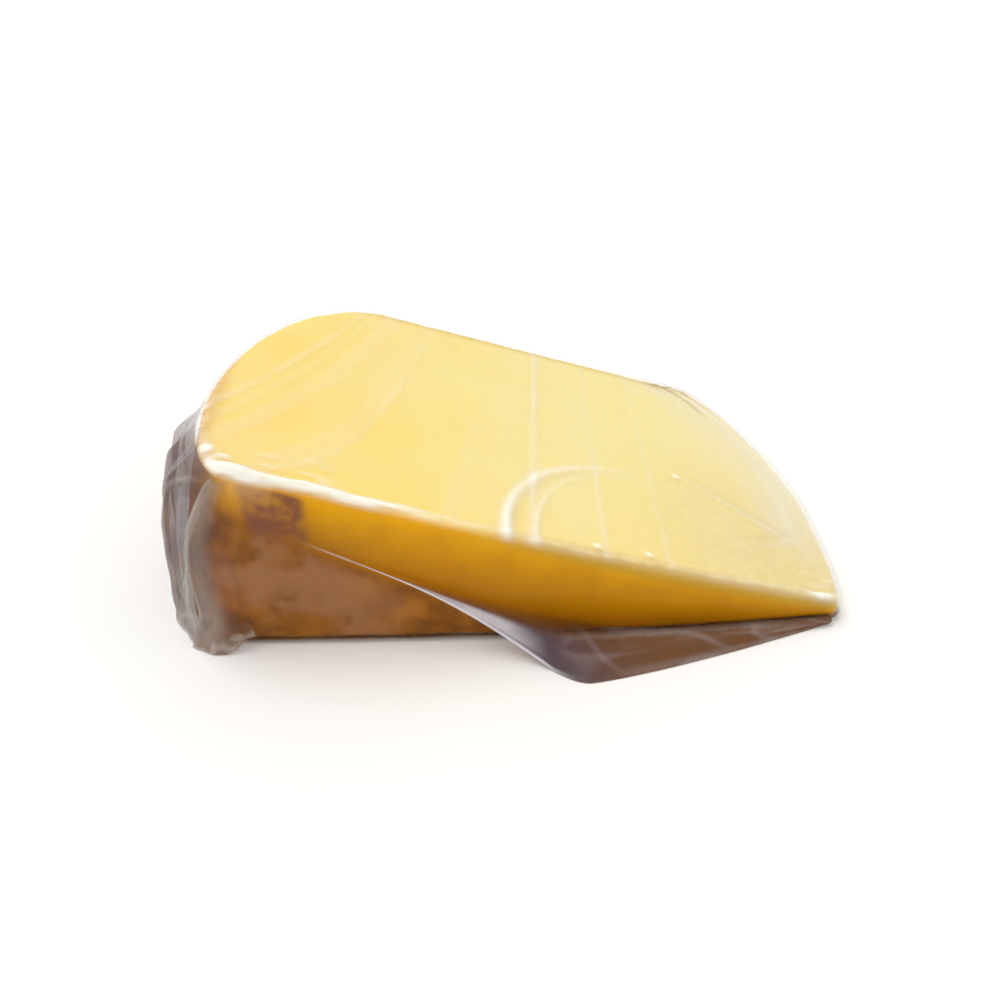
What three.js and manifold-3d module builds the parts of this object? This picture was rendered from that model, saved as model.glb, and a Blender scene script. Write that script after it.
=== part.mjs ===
// A wedge cut from a wheel of hard cheese, lying on one cut face in its clear plastic film.
// Millimetres, +Z up. X runs from the rim (-X) to the thin tip (+X), and Y from the near flat side of
// the wheel (-Y) to the far one. The film stands with its underside on Z = 0.
import * as THREE from 'three';
import { mergeVertices } from 'three/addons/utils/BufferGeometryUtils.js';
import Module from 'manifold-3d';

// Driving dimensions.
const WHEEL_HEIGHT = 96; // flat side to flat side, along Y
const TOP_LENGTH = 129.2; // near edge of the upper cut face, from the tip to the rim's corner
const RIM_THICKNESS = 43.4; // the wedge's thick end, at the near corner
const TIP_THICKNESS = 4.4; // the tip is blunt
const FILM = 0.4; // the film's wall as modelled
const GAP = 0.35; // clear space between pieces that touch in life

// The outline of the upper cut face, as quarter superellipses joined by two nearly straight edges.
const RIM_BULGE = 8.6; // how far the rim swells past its near corner
const RIM_BULGE_AT = 25; // where along Y, from the near side, it swells the most
const RIM_FAR_SETBACK = 26; // how far the far corner of the rim is rounded back
const TIP_BULGE = 5.4;
const TIP_BULGE_AT = 43;
const TIP_FAR_SETBACK = 17;
const ELLIPSE = 2; // the superellipse power of a plain ellipse; a lower one cuts the corner
const RIM_FAR_POWER = 1.85;
const TIP_FAR_POWER = 1.6;
const NEAR_BOW = 2; // the near side swells this much at its middle
const EDGE_RADIUS = 1.9; // the worn edges between the faces

// The film.
const SLEEVE_END = -57.5; // the sleeve ends here and the gathered end begins
const LIP = 3.2; // the sleeve's lip over the rim's upper edge
const GATHER_REACH = 4.2; // how far the gathered film stands off the rim
const GATHER_TOP = 38.5; // at the near side
const GATHER_FALL = 0.62; // the share of its height that it loses towards the far side
const PLEATS = 9;
const PLEAT_DEPTH = 0.8;
const GATHER_FIRST = 0.03; // its reach along the rim starts this share of the way into its swell
const GATHER_SKEW = 0.75; // below 1 puts the fullest place nearer to the near corner
const GATHER_FULLNESS = 0.8; // below 1 fills out both ends
const GATHER_FOOT = 0.6; // the share of its reach that it keeps at the table
const FLAP_WALL = 0.7;
const FLAP_REACH = 13.8; // how far it stands out on the table
const FLAP_NOSE = 4; // how much of that is in the rounded corner where its free edge lands
const FLAP_TOP = 26; // where it leaves the near side at its highest
const FLAP_BULGE = 1.2;
const FLAP_LANDS = 2; // its free edge meets the table here along X
const FLAP_MEETS = 24; // and it leaves the cheese's lower edge from here on
const FLAP_FREE = 0.42; // this share of its lower edge hangs free
const FLAP_HEM = 0.6; // the least width of the flap, at its two ends
const FLAP_NOSE_ENDS = 0.12; // this share of the edge on the table is the rounded corner
const FLAP_UPPER_CURVE = 1.6; // powers that bend its upper edge, its free edge's drop and spread, and
const FLAP_DROP_CURVE = 1.25; // the edge that lies on the table
const FLAP_SPREAD_CURVE = 3.4;
const FLAP_TAPER_CURVE = 1.2;

const BASE = FILM + GAP; // the cheese's underside
const HALF_HEIGHT = WHEEL_HEIGHT / 2;
const TIP_X = TOP_LENGTH / 2 + 2;
const RIM_X = TIP_X - TOP_LENGTH;
const SLOPE = (RIM_THICKNESS - TIP_THICKNESS) / TOP_LENGTH;
const RADIUS = Math.hypot(TOP_LENGTH, RIM_THICKNESS); // of the wheel
const CENTRE = [(TIP_X + RIM_X) / 2, 0];
const HALF_SIZE = [TOP_LENGTH / 2, HALF_HEIGHT];
const FLAP_START = RIM_X + 12;
const FLAP_END = TIP_X - 1;

const PASTE = { color: 0xf6dc8c, roughness: 0.5 };
const CLEAR_FILM = { color: 0xdfe3e6, roughness: 0.12, transparent: true, opacity: 0.35 };

/** Height of the upper cut face above the table. */
function topPlane(x) {
  return BASE + TIP_THICKNESS + SLOPE * (TIP_X - x);
}

/** Points of a quarter superellipse about (cx, cy), from angle a0 to a1 in quarter turns. */
function quarter(cx, cy, rx, ry, power, a0, count) {
  const points = [];
  for (let i = 0; i < count; i += 1) {
    const angle = (a0 + i / count) * Math.PI / 2;
    const cos = Math.cos(angle);
    const sin = Math.sin(angle);
    points.push([
      cx + rx * Math.sign(cos) * Math.abs(cos) ** (2 / power),
      cy + ry * Math.sign(sin) * Math.abs(sin) ** (2 / power),
    ]);
  }
  return points;
}

/** The upper face's outline, counterclockwise from the near corner of the rim. */
function outline() {
  const near = -HALF_HEIGHT;
  const far = HALF_HEIGHT;
  const tipTop = TIP_X + TIP_BULGE;
  const rimTop = RIM_X - RIM_BULGE;
  const rimFar = RIM_BULGE + RIM_FAR_SETBACK;
  const tipFar = TIP_BULGE + TIP_FAR_SETBACK;
  const points = [];
  const nearSteps = 20;
  for (let i = 0; i < nearSteps; i += 1) {
    const t = i / nearSteps;
    points.push([RIM_X + TOP_LENGTH * t, near - NEAR_BOW * Math.sin(Math.PI * t)]);
  }
  points.push(...quarter(TIP_X, near + TIP_BULGE_AT, TIP_BULGE, TIP_BULGE_AT, ELLIPSE, 3, 10));
  const tipDepth = far - near - TIP_BULGE_AT;
  points.push(...quarter(tipTop - tipFar, near + TIP_BULGE_AT, tipFar, tipDepth, TIP_FAR_POWER, 0, 12));
  const farSteps = 10;
  for (let i = 0; i < farSteps; i += 1) {
    const t = i / farSteps;
    points.push([tipTop - tipFar + (rimTop + rimFar - tipTop + tipFar) * t, far]);
  }
  const rimDepth = far - near - RIM_BULGE_AT;
  points.push(...quarter(rimTop + rimFar, near + RIM_BULGE_AT, rimFar, rimDepth, RIM_FAR_POWER, 1, 14));
  points.push(...quarter(RIM_X, near + RIM_BULGE_AT, RIM_BULGE, RIM_BULGE_AT, ELLIPSE, 2, 12));
  return points;
}

/** How far a chord of the wheel's circle lags behind the rim at height z: the rim is an arc about the tip. */
function arcLag(z) {
  return RADIUS - Math.sqrt(RADIUS ** 2 - Math.min(z, 0.6 * RADIUS) ** 2);
}

/** Moves a point of the rim's half outwards below the upper face, so that the rim follows the wheel's arc. */
function followArc(x, y, z) {
  const weight = THREE.MathUtils.smoothstep(TIP_X - x, 0.4 * TOP_LENGTH, TOP_LENGTH);
  const lag = arcLag(z) - arcLag(topPlane(x));
  return [x + weight * lag, y, z];
}

/** Geometry from closed rings of equal length, capped at both ends by a centre point. */
function loft(rings, start, end) {
  const count = rings[0].length;
  const positions = [start, ...rings.flat(), end].flat();
  const index = [];
  const last = rings.length * count + 1;
  for (let i = 0; i < count; i += 1) {
    const next = (i + 1) % count;
    index.push(0, 1 + next, 1 + i);
    for (let r = 0; r < rings.length - 1; r += 1) {
      const a = 1 + r * count;
      const b = a + count;
      index.push(a + i, a + next, b + next, a + i, b + next, b + i);
    }
    index.push(last, last - count + i, last - count + next);
  }
  const geometry = new THREE.BufferGeometry();
  geometry.setAttribute('position', new THREE.Float32BufferAttribute(positions, 3));
  geometry.setIndex(index);
  return geometry;
}

/** A point of the outline moved inwards by d, or outwards for a negative d. */
function inset([x, y], d) {
  return [
    CENTRE[0] + (x - CENTRE[0]) * (1 - d / HALF_SIZE[0]),
    CENTRE[1] + (y - CENTRE[1]) * (1 - d / HALF_SIZE[1]),
  ];
}

/** The whole wedge as a closed skin, grown outwards by grow on every side. */
function wedgeSkin(grow) {
  const shape = outline();
  const bottom = BASE - grow;
  const filletSteps = 3;
  const sides = 4;
  // Each step up the side: how much of the edge radius it is pulled in, and its height as a number of
  // edge radii plus a share of the wall between the two rounded edges.
  const steps = [];
  for (let i = 0; i <= filletSteps; i += 1) {
    const angle = i / filletSteps * Math.PI / 2;
    steps.push({ pull: 1 - Math.sin(angle), radii: 1 - Math.cos(angle), share: 0 });
  }
  for (let i = 1; i < sides; i += 1) {
    steps.push({ pull: 0, radii: 1, share: i / sides });
  }
  for (let i = 0; i <= filletSteps; i += 1) {
    const angle = i / filletSteps * Math.PI / 2;
    steps.push({ pull: 1 - Math.cos(angle), radii: 1 + Math.sin(angle), share: 1 });
  }
  const rings = steps.map(({ pull, radii, share }) => shape.map((point) => {
    const height = topPlane(point[0]) + grow - bottom;
    const radius = Math.min(EDGE_RADIUS, 0.4 * height);
    const [x, y] = inset(point, radius * pull - grow);
    const wall = topPlane(x) + grow - bottom - 2 * radius;
    return followArc(x, y, bottom + radius * radii + wall * share);
  }));
  const middle = topPlane(CENTRE[0]) + grow;
  const start = [CENTRE[0], CENTRE[1], bottom];
  const end = [CENTRE[0], CENTRE[1], middle];
  return loft(rings, start, end);
}

const wasm = await Module();
wasm.setup();

/** A manifold solid from a geometry. */
function solid(geometry) {
  const bare = geometry.clone();
  bare.deleteAttribute('normal');
  bare.deleteAttribute('uv');
  const merged = mergeVertices(bare, 1e-5);
  return new wasm.Manifold(new wasm.Mesh({
    numProp: 3,
    vertProperties: new Float32Array(merged.attributes.position.array),
    triVerts: new Uint32Array(merged.index.array),
  }));
}

/** A named mesh from a manifold solid, in one of the finishes. */
function piece(name, body, finish) {
  const mesh = body.getMesh();
  const geometry = new THREE.BufferGeometry();
  const positions = new THREE.Float32BufferAttribute(mesh.vertProperties.slice(), mesh.numProp);
  geometry.setAttribute('position', positions);
  geometry.setIndex([...mesh.triVerts]);
  geometry.computeVertexNormals();
  const made = new THREE.Mesh(geometry, new THREE.MeshStandardMaterial({ metalness: 0, ...finish }));
  made.name = name;
  return made;
}

/** A box between two corners, as a manifold solid. */
function block(low, high) {
  const size = high.map((value, i) => value - low[i]);
  const geometry = new THREE.BoxGeometry(...size);
  geometry.translate(...low.map((value, i) => value + size[i] / 2));
  return solid(geometry);
}

/** The middle of a ring of points. */
function middleOf(ring) {
  return [0, 1, 2].map((k) => ring.reduce((sum, point) => sum + point[k], 0) / ring.length);
}

/** The film drawn tight round the wedge: a sleeve, open at the rim below a lip, where it is gathered. */
function filmSleeve() {
  const wall = solid(wedgeSkin(GAP + FILM)).subtract(solid(wedgeSkin(GAP)));
  const rimSide = block([-2 * TOP_LENGTH, -WHEEL_HEIGHT, -1], [SLEEVE_END, WHEEL_HEIGHT, 2 * RIM_THICKNESS]);
  const down = new THREE.Vector3(-SLOPE, 0, -1).normalize();
  const edge = new THREE.Vector3(0, 0, topPlane(0) - LIP);
  return wall.subtract(rimSide.trimByPlane(down.toArray(), edge.dot(down)));
}

/**
 * How far the gathered film stands off the rim, at share t of the way from the near side to the far and
 * at share level of its height. It swells most near the near corner and a little above half height.
 */
function gatherReach(t, level) {
  const along = (GATHER_FIRST + (1 - GATHER_FIRST) * t) ** GATHER_SKEW;
  const swell = Math.sin(Math.PI * along) ** GATHER_FULLNESS;
  const pleat = 1 + PLEAT_DEPTH / GATHER_REACH * Math.cos(2 * Math.PI * PLEATS * t);
  const sag = GATHER_FOOT + (1 - GATHER_FOOT) * Math.sin(0.8 * Math.PI * level);
  return 2 * GAP + FILM + GATHER_REACH * swell * pleat * sag;
}

/** The rim's outline from the near side, where the sleeve ends, round to the far side. */
function rimCurve() {
  const shape = outline();
  const corner = shape[0];
  const rim = shape.filter(([x]) => x < RIM_X).reverse();
  const points = [[SLEEVE_END - GAP, corner[1]], corner, ...rim];
  return new THREE.CatmullRomCurve3(points.map(([x, y]) => new THREE.Vector3(x, y, 0)), false, 'centripetal');
}

/** The film's gathered end: a pleated cup round the rim, higher on the near side, down to the table. */
function filmGather() {
  const steps = 60;
  const levels = 6;
  const curve = rimCurve();
  const rings = [];
  for (let i = 0; i <= steps; i += 1) {
    const t = i / steps;
    const place = curve.getPointAt(t);
    const tangent = curve.getTangentAt(t);
    const away = [-tangent.y, tangent.x];
    const top = GATHER_TOP * (1 - GATHER_FALL * THREE.MathUtils.smoothstep(t, 0.3, 1));
    const wall = (level, reach) => {
      const x = place.x + away[0] * reach;
      const y = place.y + away[1] * reach;
      return followArc(x, y, top * level);
    };
    const ring = [];
    for (let k = 0; k <= levels; k += 1) {
      ring.push(wall(k / levels, GAP * 1.2));
    }
    for (let k = levels; k >= 0; k -= 1) {
      ring.push(wall(k / levels, gatherReach(t, k / levels)));
    }
    rings.push(ring.reverse());
  }
  return solid(loft(rings, middleOf(rings[0]), middleOf(rings[steps])));
}

/** Where the flap's wall stands in front of the near side of the wedge at x. */
function flapSide(x) {
  const bow = NEAR_BOW * Math.sin(Math.PI * Math.min(1, (x - RIM_X) / TOP_LENGTH));
  return -HALF_HEIGHT - bow - 2 * FILM - 2 * GAP;
}

/** Where the flap leaves the near side, at share t from its pointed end near the rim to the tip. */
function flapUpper(t) {
  const x = FLAP_START + (FLAP_END - FLAP_START) * t;
  const fall = Math.max(0, 1 - (x - FLAP_START) / (FLAP_MEETS - FLAP_START));
  return new THREE.Vector3(x, flapSide(x), FLAP_WALL + FILM + FLAP_TOP * fall ** FLAP_UPPER_CURVE);
}

/** The flap's lower edge: its free edge down to the table, and then the edge that lies on the table. */
function flapLower(t) {
  if (t < FLAP_FREE) {
    const q = t / FLAP_FREE;
    const x = FLAP_START + (FLAP_LANDS - FLAP_START) * q;
    const away = FLAP_HEM + (FLAP_REACH - FLAP_NOSE) * q ** FLAP_SPREAD_CURVE;
    return new THREE.Vector3(x, flapSide(x) - away, 0.9 * FLAP_TOP * (1 - q) ** FLAP_DROP_CURVE);
  }
  const w = (t - FLAP_FREE) / (1 - FLAP_FREE);
  const x = FLAP_LANDS + (FLAP_END - FLAP_LANDS) * w;
  const out = w < FLAP_NOSE_ENDS
    ? FLAP_REACH - FLAP_NOSE + FLAP_NOSE * Math.sin(w / FLAP_NOSE_ENDS * Math.PI / 2)
    : FLAP_REACH * (1 - ((w - FLAP_NOSE_ENDS) / (1 - FLAP_NOSE_ENDS)) ** FLAP_TAPER_CURVE);
  return new THREE.Vector3(x, flapSide(x) - FLAP_HEM - out, 0);
}

/** A point of the flap: t runs along it, s from the cheese outwards, and offset is through its wall. */
function flapPoint(t, s, offset) {
  const upper = flapUpper(t);
  const lower = flapLower(t);
  const fall = new THREE.Vector2(lower.y - upper.y, lower.z - upper.z).normalize();
  const outward = new THREE.Vector3(0, fall.y, -fall.x);
  const bulge = FLAP_BULGE * Math.sin(Math.PI * s) * Math.sin(Math.PI * t);
  return upper.lerp(lower, s).addScaledVector(outward, bulge + offset).toArray();
}

/** The loose flap: it leaves the near side along a slanting line and comes down to the table in front. */
function filmFlap() {
  const steps = 26;
  const rows = 6;
  const rings = [];
  for (let i = 0; i <= steps; i += 1) {
    const ring = [];
    for (let j = 0; j <= rows; j += 1) {
      ring.push(flapPoint(i / steps, j / rows, FLAP_WALL));
    }
    for (let j = rows; j >= 0; j -= 1) {
      ring.push(flapPoint(i / steps, j / rows, 0));
    }
    rings.push(ring);
  }
  return solid(loft(rings, middleOf(rings[0]), middleOf(rings[steps])));
}

const part = new THREE.Group();
part.name = 'cheese_wedge_in_film';
part.add(
  piece('cheese', solid(wedgeSkin(0)), PASTE),
  piece('film_sleeve', filmSleeve(), CLEAR_FILM),
  piece('film_gather', filmGather(), CLEAR_FILM),
  piece('film_flap', filmFlap(), CLEAR_FILM),
);

// The origin is under the middle of the whole object, at table height.
const extent = new THREE.Box3().setFromObject(part);
const middle = extent.getCenter(new THREE.Vector3());
part.position.set(-middle.x, -middle.y, -extent.min.z);

export default part;
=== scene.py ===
"""A wedge of hard cheese in clear film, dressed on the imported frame.

The wedge lies on one cut face. X runs from the rim to the thin tip, Y from the near flat side of the
wheel to the far one. Shapes are worked out in millimetres of the wedge, with Y measured from the near
side, and are moved into the frame when a mesh is made.
"""

import logging
import math
from dataclasses import dataclass, field
from enum import Enum

import bpy
import numpy as np
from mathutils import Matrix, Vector

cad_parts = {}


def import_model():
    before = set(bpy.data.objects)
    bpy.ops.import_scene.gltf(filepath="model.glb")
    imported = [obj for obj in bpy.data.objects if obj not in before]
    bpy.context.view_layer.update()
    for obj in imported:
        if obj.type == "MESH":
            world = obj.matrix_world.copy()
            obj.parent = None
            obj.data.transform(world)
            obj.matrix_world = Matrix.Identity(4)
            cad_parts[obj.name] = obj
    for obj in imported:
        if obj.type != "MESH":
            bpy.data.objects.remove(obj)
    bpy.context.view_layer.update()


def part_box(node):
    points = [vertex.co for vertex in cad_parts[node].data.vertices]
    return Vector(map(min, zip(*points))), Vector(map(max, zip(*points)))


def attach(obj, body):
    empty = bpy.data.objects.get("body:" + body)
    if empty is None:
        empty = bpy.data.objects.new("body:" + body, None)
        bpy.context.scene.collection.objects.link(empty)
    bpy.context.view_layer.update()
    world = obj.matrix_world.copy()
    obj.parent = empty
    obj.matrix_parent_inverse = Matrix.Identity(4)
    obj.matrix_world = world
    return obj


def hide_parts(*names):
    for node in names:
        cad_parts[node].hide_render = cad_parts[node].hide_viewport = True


log = logging.getLogger("cheese")

MILLI = 0.001  # metres in a millimetre
TINY = 1e-9  # keeps a division from failing
QUARTER_TURN = math.pi / 2

Array = np.ndarray
Values = np.ndarray | float
Colour = tuple[float, float, float, float]
Face = tuple[int, ...]
Flat = tuple[float, float]
Point = tuple[float, float, float]
Ring = tuple[Array, Values, float]  # plan, height and level


class Node(Enum):
    """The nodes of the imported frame."""

    CHEESE = "cheese"
    SLEEVE = "film_sleeve"
    GATHER = "film_gather"
    FLAP = "film_flap"


class Slot(Enum):
    """The record's material slots."""

    CHEESE = "cheese"
    FILM = "film"


# Numbers in, numbers out.


def linear(colour: str) -> Colour:
    """Turns an sRGB hex colour into linear red, green, blue and alpha.

    Args:
        colour: Six hex digits, such as "F4D888".

    Returns:
        The linear colour, with an alpha of 1.
    """
    shares = (int(colour[i : i + 2], 16) / 255 for i in (0, 2, 4))
    return (*(c / 12.92 if c <= 0.04045 else ((c + 0.055) / 1.055) ** 2.4 for c in shares), 1.0)


@dataclass(frozen=True)
class Ramp:
    """A smooth change from 0 to 1, level beyond both ends.

    Attributes:
        none: Where it is still 0.
        full: Where it has reached 1, which may lie below none.
    """

    none: Values
    full: Values

    def __call__(self, values: Values) -> Array:
        """The share reached at each value."""
        share = np.clip((np.asarray(values, float) - self.none) / (self.full - self.none), 0.0, 1.0)
        return share * share * (3 - 2 * share)


@dataclass(frozen=True)
class Ridge:
    """A rounded ridge of height 1 that has died away about two widths off its centre.

    Attributes:
        centre: Where its crest is.
        width: How broad it is.
    """

    centre: Values
    width: Values

    def __call__(self, values: Values) -> Array:
        """The ridge's height at each value."""
        return np.exp(-(((np.asarray(values, float) - self.centre) / self.width) ** 2))


def zigzag(values: Values) -> Array:
    """A triangle wave from -1 to 1 with a period of 1, for creases that are sharp at both ends."""
    return 4 * np.abs(np.mod(values, 1.0) - 0.5) - 1


def points_of(x: Values, y: Values, z: Values = 0.0) -> Array:
    """Points from their coordinates, which are spread to one shape."""
    return np.stack(np.broadcast_arrays(x, y, z), -1)


class Noise:
    """Smooth noise from -1 to 1 over points, the same on every run.

    Args:
        seed: Chooses the pattern.
    """

    SIZE = 4096
    STRIDES = (73856093, 19349663, 83492791)  # large primes, which scatter neighbouring cells
    OCTAVE_SHIFT = 37.0  # moves each finer layer, so that their cells don't line up
    OCTAVE_SUM = 1.6  # brings the layers' sum back to about 1

    def __init__(self, seed: int) -> None:
        """Draws the random numbers that the noise runs between."""
        self.table = np.random.default_rng(seed).uniform(-1, 1, self.SIZE)

    def __call__(self, points: Array, size: float | Point) -> Array:
        """Noise at points.

        Args:
            points: An array whose last axis is x, y, z.
            size: The size of a patch, as one number or one for each axis.

        Returns:
            One number for each point.
        """
        scaled = np.asarray(points, float) / size
        cell = np.floor(scaled).astype(np.int64)
        share = scaled - cell
        share = share * share * (3 - 2 * share)
        total = 0.0
        for corner in range(8):
            step = np.array([corner & 1, corner >> 1 & 1, corner >> 2 & 1])
            key = (cell + step) * self.STRIDES
            index = (key[..., 0] ^ key[..., 1] ^ key[..., 2]) & (self.SIZE - 1)
            weight = np.where(step == 1, share, 1 - share).prod(-1)
            total = total + weight * self.table[index]
        return total

    def layered(self, points: Array, size: float, octaves: int = 4) -> Array:
        """Noise with finer patches added, each half the size and height of the last.

        Args:
            points: An array whose last axis is x, y, z.
            size: The size of the largest patches.
            octaves: How many layers there are.

        Returns:
            One number for each point.
        """
        layers = (self(points + self.OCTAVE_SHIFT * k, size / 2**k) / 2**k for k in range(octaves))
        return sum(layers) / self.OCTAVE_SUM


def resample(points: Array, count: int, closed: bool = False) -> Array:
    """Spaces points evenly along a line.

    Args:
        points: Points that the line passes through.
        count: How many points are wanted.
        closed: Whether the line comes back to its start.

    Returns:
        The evenly spaced points.
    """
    path = np.concatenate([points, points[:1]]) if closed else points
    steps = np.linalg.norm(np.diff(path, axis=0), axis=1)
    length = np.concatenate([[0], np.cumsum(steps)])
    wanted = np.linspace(0, length[-1], count, endpoint=not closed)
    return np.stack([np.interp(wanted, length, path[:, k]) for k in range(path.shape[1])], 1)


# Meshes.


def grid_faces(rows: int, columns: int, closed: bool = False) -> list[Face]:
    """Quads over a grid of points stored row by row.

    Args:
        rows: The number of rows.
        columns: The number of points in a row.
        closed: Whether each row closes on itself and the first and last rows are capped.

    Returns:
        The corners of each face, with the caps last.
    """
    faces = []
    for row in range(rows - 1):
        start = row * columns
        above = start + columns
        for column in range(columns if closed else columns - 1):
            after = (column + 1) % columns
            faces.append((start + column, start + after, above + after, above + column))
    if closed:
        faces.append(tuple(reversed(range(columns))))
        faces.append(tuple(range((rows - 1) * columns, rows * columns)))
    return faces


def ring_normals(points: Array) -> Array:
    """Unit normals of rings of points.

    Args:
        points: The points, with shape (rings, points in a ring, 3).

    Returns:
        A normal for each point.
    """
    along = np.roll(points, -1, axis=1) - np.roll(points, 1, axis=1)
    up = np.gradient(points, axis=0)
    normals = np.cross(along, up)
    return normals / np.maximum(np.linalg.norm(normals, axis=-1, keepdims=True), TINY)


def make_piece(
    name: str,
    points: Array,
    faces: list[Face],
    masks: dict[str, Array],
    material: bpy.types.Material,
    stands_for: Node,
) -> bpy.types.Object:
    """Makes one visible piece that rides on the root body and stands for a CAD node.

    Args:
        name: The piece's name.
        points: Its points, in metres, in the row frame. Those that no face uses are dropped.
        faces: The corners of its faces.
        masks: A number for each point, by attribute name.
        material: Its material.
        stands_for: The CAD node that it replaces.

    Returns:
        The new object.
    """
    used = sorted({corner for face in faces for corner in face})
    number = {corner: i for i, corner in enumerate(used)}
    kept = np.asarray(points).reshape(-1, 3)[used]
    mesh = bpy.data.meshes.new(name)
    mesh.from_pydata(kept.tolist(), [], [tuple(number[corner] for corner in face) for face in faces])
    for key, values in masks.items():
        layer = mesh.attributes.new(key, "FLOAT", "POINT")
        layer.data.foreach_set("value", np.asarray(values, np.float32).ravel()[used])
    mesh.polygons.foreach_set("use_smooth", [True] * len(mesh.polygons))
    mesh.materials.append(material)
    mesh.update()
    piece = bpy.data.objects.new(name, mesh)
    bpy.context.scene.collection.objects.link(piece)
    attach(piece, "root")
    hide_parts(stands_for.value)
    log.info("%s: %d points, %d faces", name, len(mesh.vertices), len(mesh.polygons))
    return piece


# Materials.

Tree = bpy.types.ShaderNodeTree
Socket = bpy.types.NodeSocket

MIX_COLOURS = {"data_type": "RGBA"}  # inputs 0, 6 and 7 are the share and both colours, output 2 the mix
SMOOTH = {"interpolation_type": "SMOOTHSTEP"}


def clamped(operation: str) -> dict[str, object]:
    """Settings of an arithmetic node whose result is kept from 0 to 1."""
    return {"operation": operation, "use_clamp": True}


def add_node(
    tree: Tree,
    kind: str,
    settings: dict[str, object] | None = None,
    links: dict[str | int, object] | None = None,
    output: str | int = 0,
) -> Socket | None:
    """Adds a shader node.

    Args:
        tree: The material's node tree.
        kind: The node's type.
        settings: Values for the node's own properties.
        links: For each input, by name or number, the value it gets or the output that feeds it.
        output: The name or number of the output that is wanted.

    Returns:
        That output, or None for a node that has no outputs.
    """
    node = tree.nodes.new(kind)
    for key, value in (settings or {}).items():
        setattr(node, key, value)
    for key, source in (links or {}).items():
        if isinstance(source, Socket):
            tree.links.new(source, node.inputs[key])
        else:
            node.inputs[key].default_value = source
    return node.outputs[output] if len(node.outputs) else None


def painted(tree: Tree, base: Colour | Socket, layers: list[tuple[Socket, Colour | Socket]]) -> Socket:
    """Lays colours over a base, one after another.

    Args:
        tree: The material's node tree.
        base: The first colour.
        layers: For each further colour, how much of what lies below it covers, and the colour.

    Returns:
        The colour on top.
    """
    for share, colour in layers:
        base = add_node(tree, "ShaderNodeMix", MIX_COLOURS, {0: share, 6: base, 7: colour}, output=2)
    return base


def read_masks(tree: Tree, names: tuple[str, ...]) -> dict[str, Socket]:
    """The values of the mesh's point attributes, by name."""
    kind = "ShaderNodeAttribute"
    return {name: add_node(tree, kind, {"attribute_name": name}, output="Fac") for name in names}


def empty_material(name: str) -> bpy.types.Material:
    """A node material without nodes.

    Args:
        name: Its name.

    Returns:
        The material.
    """
    material = bpy.data.materials.new(name)
    material.use_nodes = True
    material.node_tree.nodes.clear()
    return material


@dataclass(frozen=True)
class Grain:
    """Procedural patches of a real size.

    Attributes:
        size: How far one patch is across, in millimetres.
        detail: How many finer layers there are in it.
        stretch: How many times longer a patch is along each axis.
        roughness: How strong the finer layers are.
    """

    size: float
    detail: float = 4.0
    stretch: Point = (1.0, 1.0, 1.0)
    roughness: float = 0.55

    def pattern(self, tree: Tree) -> Socket:
        """The patches, mostly from 0.3 to 0.7.

        Args:
            tree: The material's node tree.

        Returns:
            The pattern at each point.
        """
        place = add_node(tree, "ShaderNodeTexCoord", output="Object")
        scale = tuple(1 / (MILLI * self.size * longer) for longer in self.stretch)
        mapped = add_node(tree, "ShaderNodeMapping", links={"Vector": place, "Scale": scale})
        links = {"Vector": mapped, "Scale": 1.0, "Detail": self.detail, "Roughness": self.roughness}
        return add_node(tree, "ShaderNodeTexNoise", links=links)

    def share(self, tree: Tree, low: float, high: float, start: float = 0.0, end: float = 1.0) -> Socket:
        """The patches with their contrast set.

        Args:
            tree: The material's node tree.
            low: The pattern's value that gives start.
            high: The pattern's value that gives end.
            start: The lower end of the result.
            end: The upper end of the result.

        Returns:
            The share that the patches give.
        """
        value = self.pattern(tree)
        links = {"Value": value, "From Min": low, "From Max": high, "To Min": start, "To Max": end}
        return add_node(tree, "ShaderNodeMapRange", SMOOTH, links)


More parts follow.
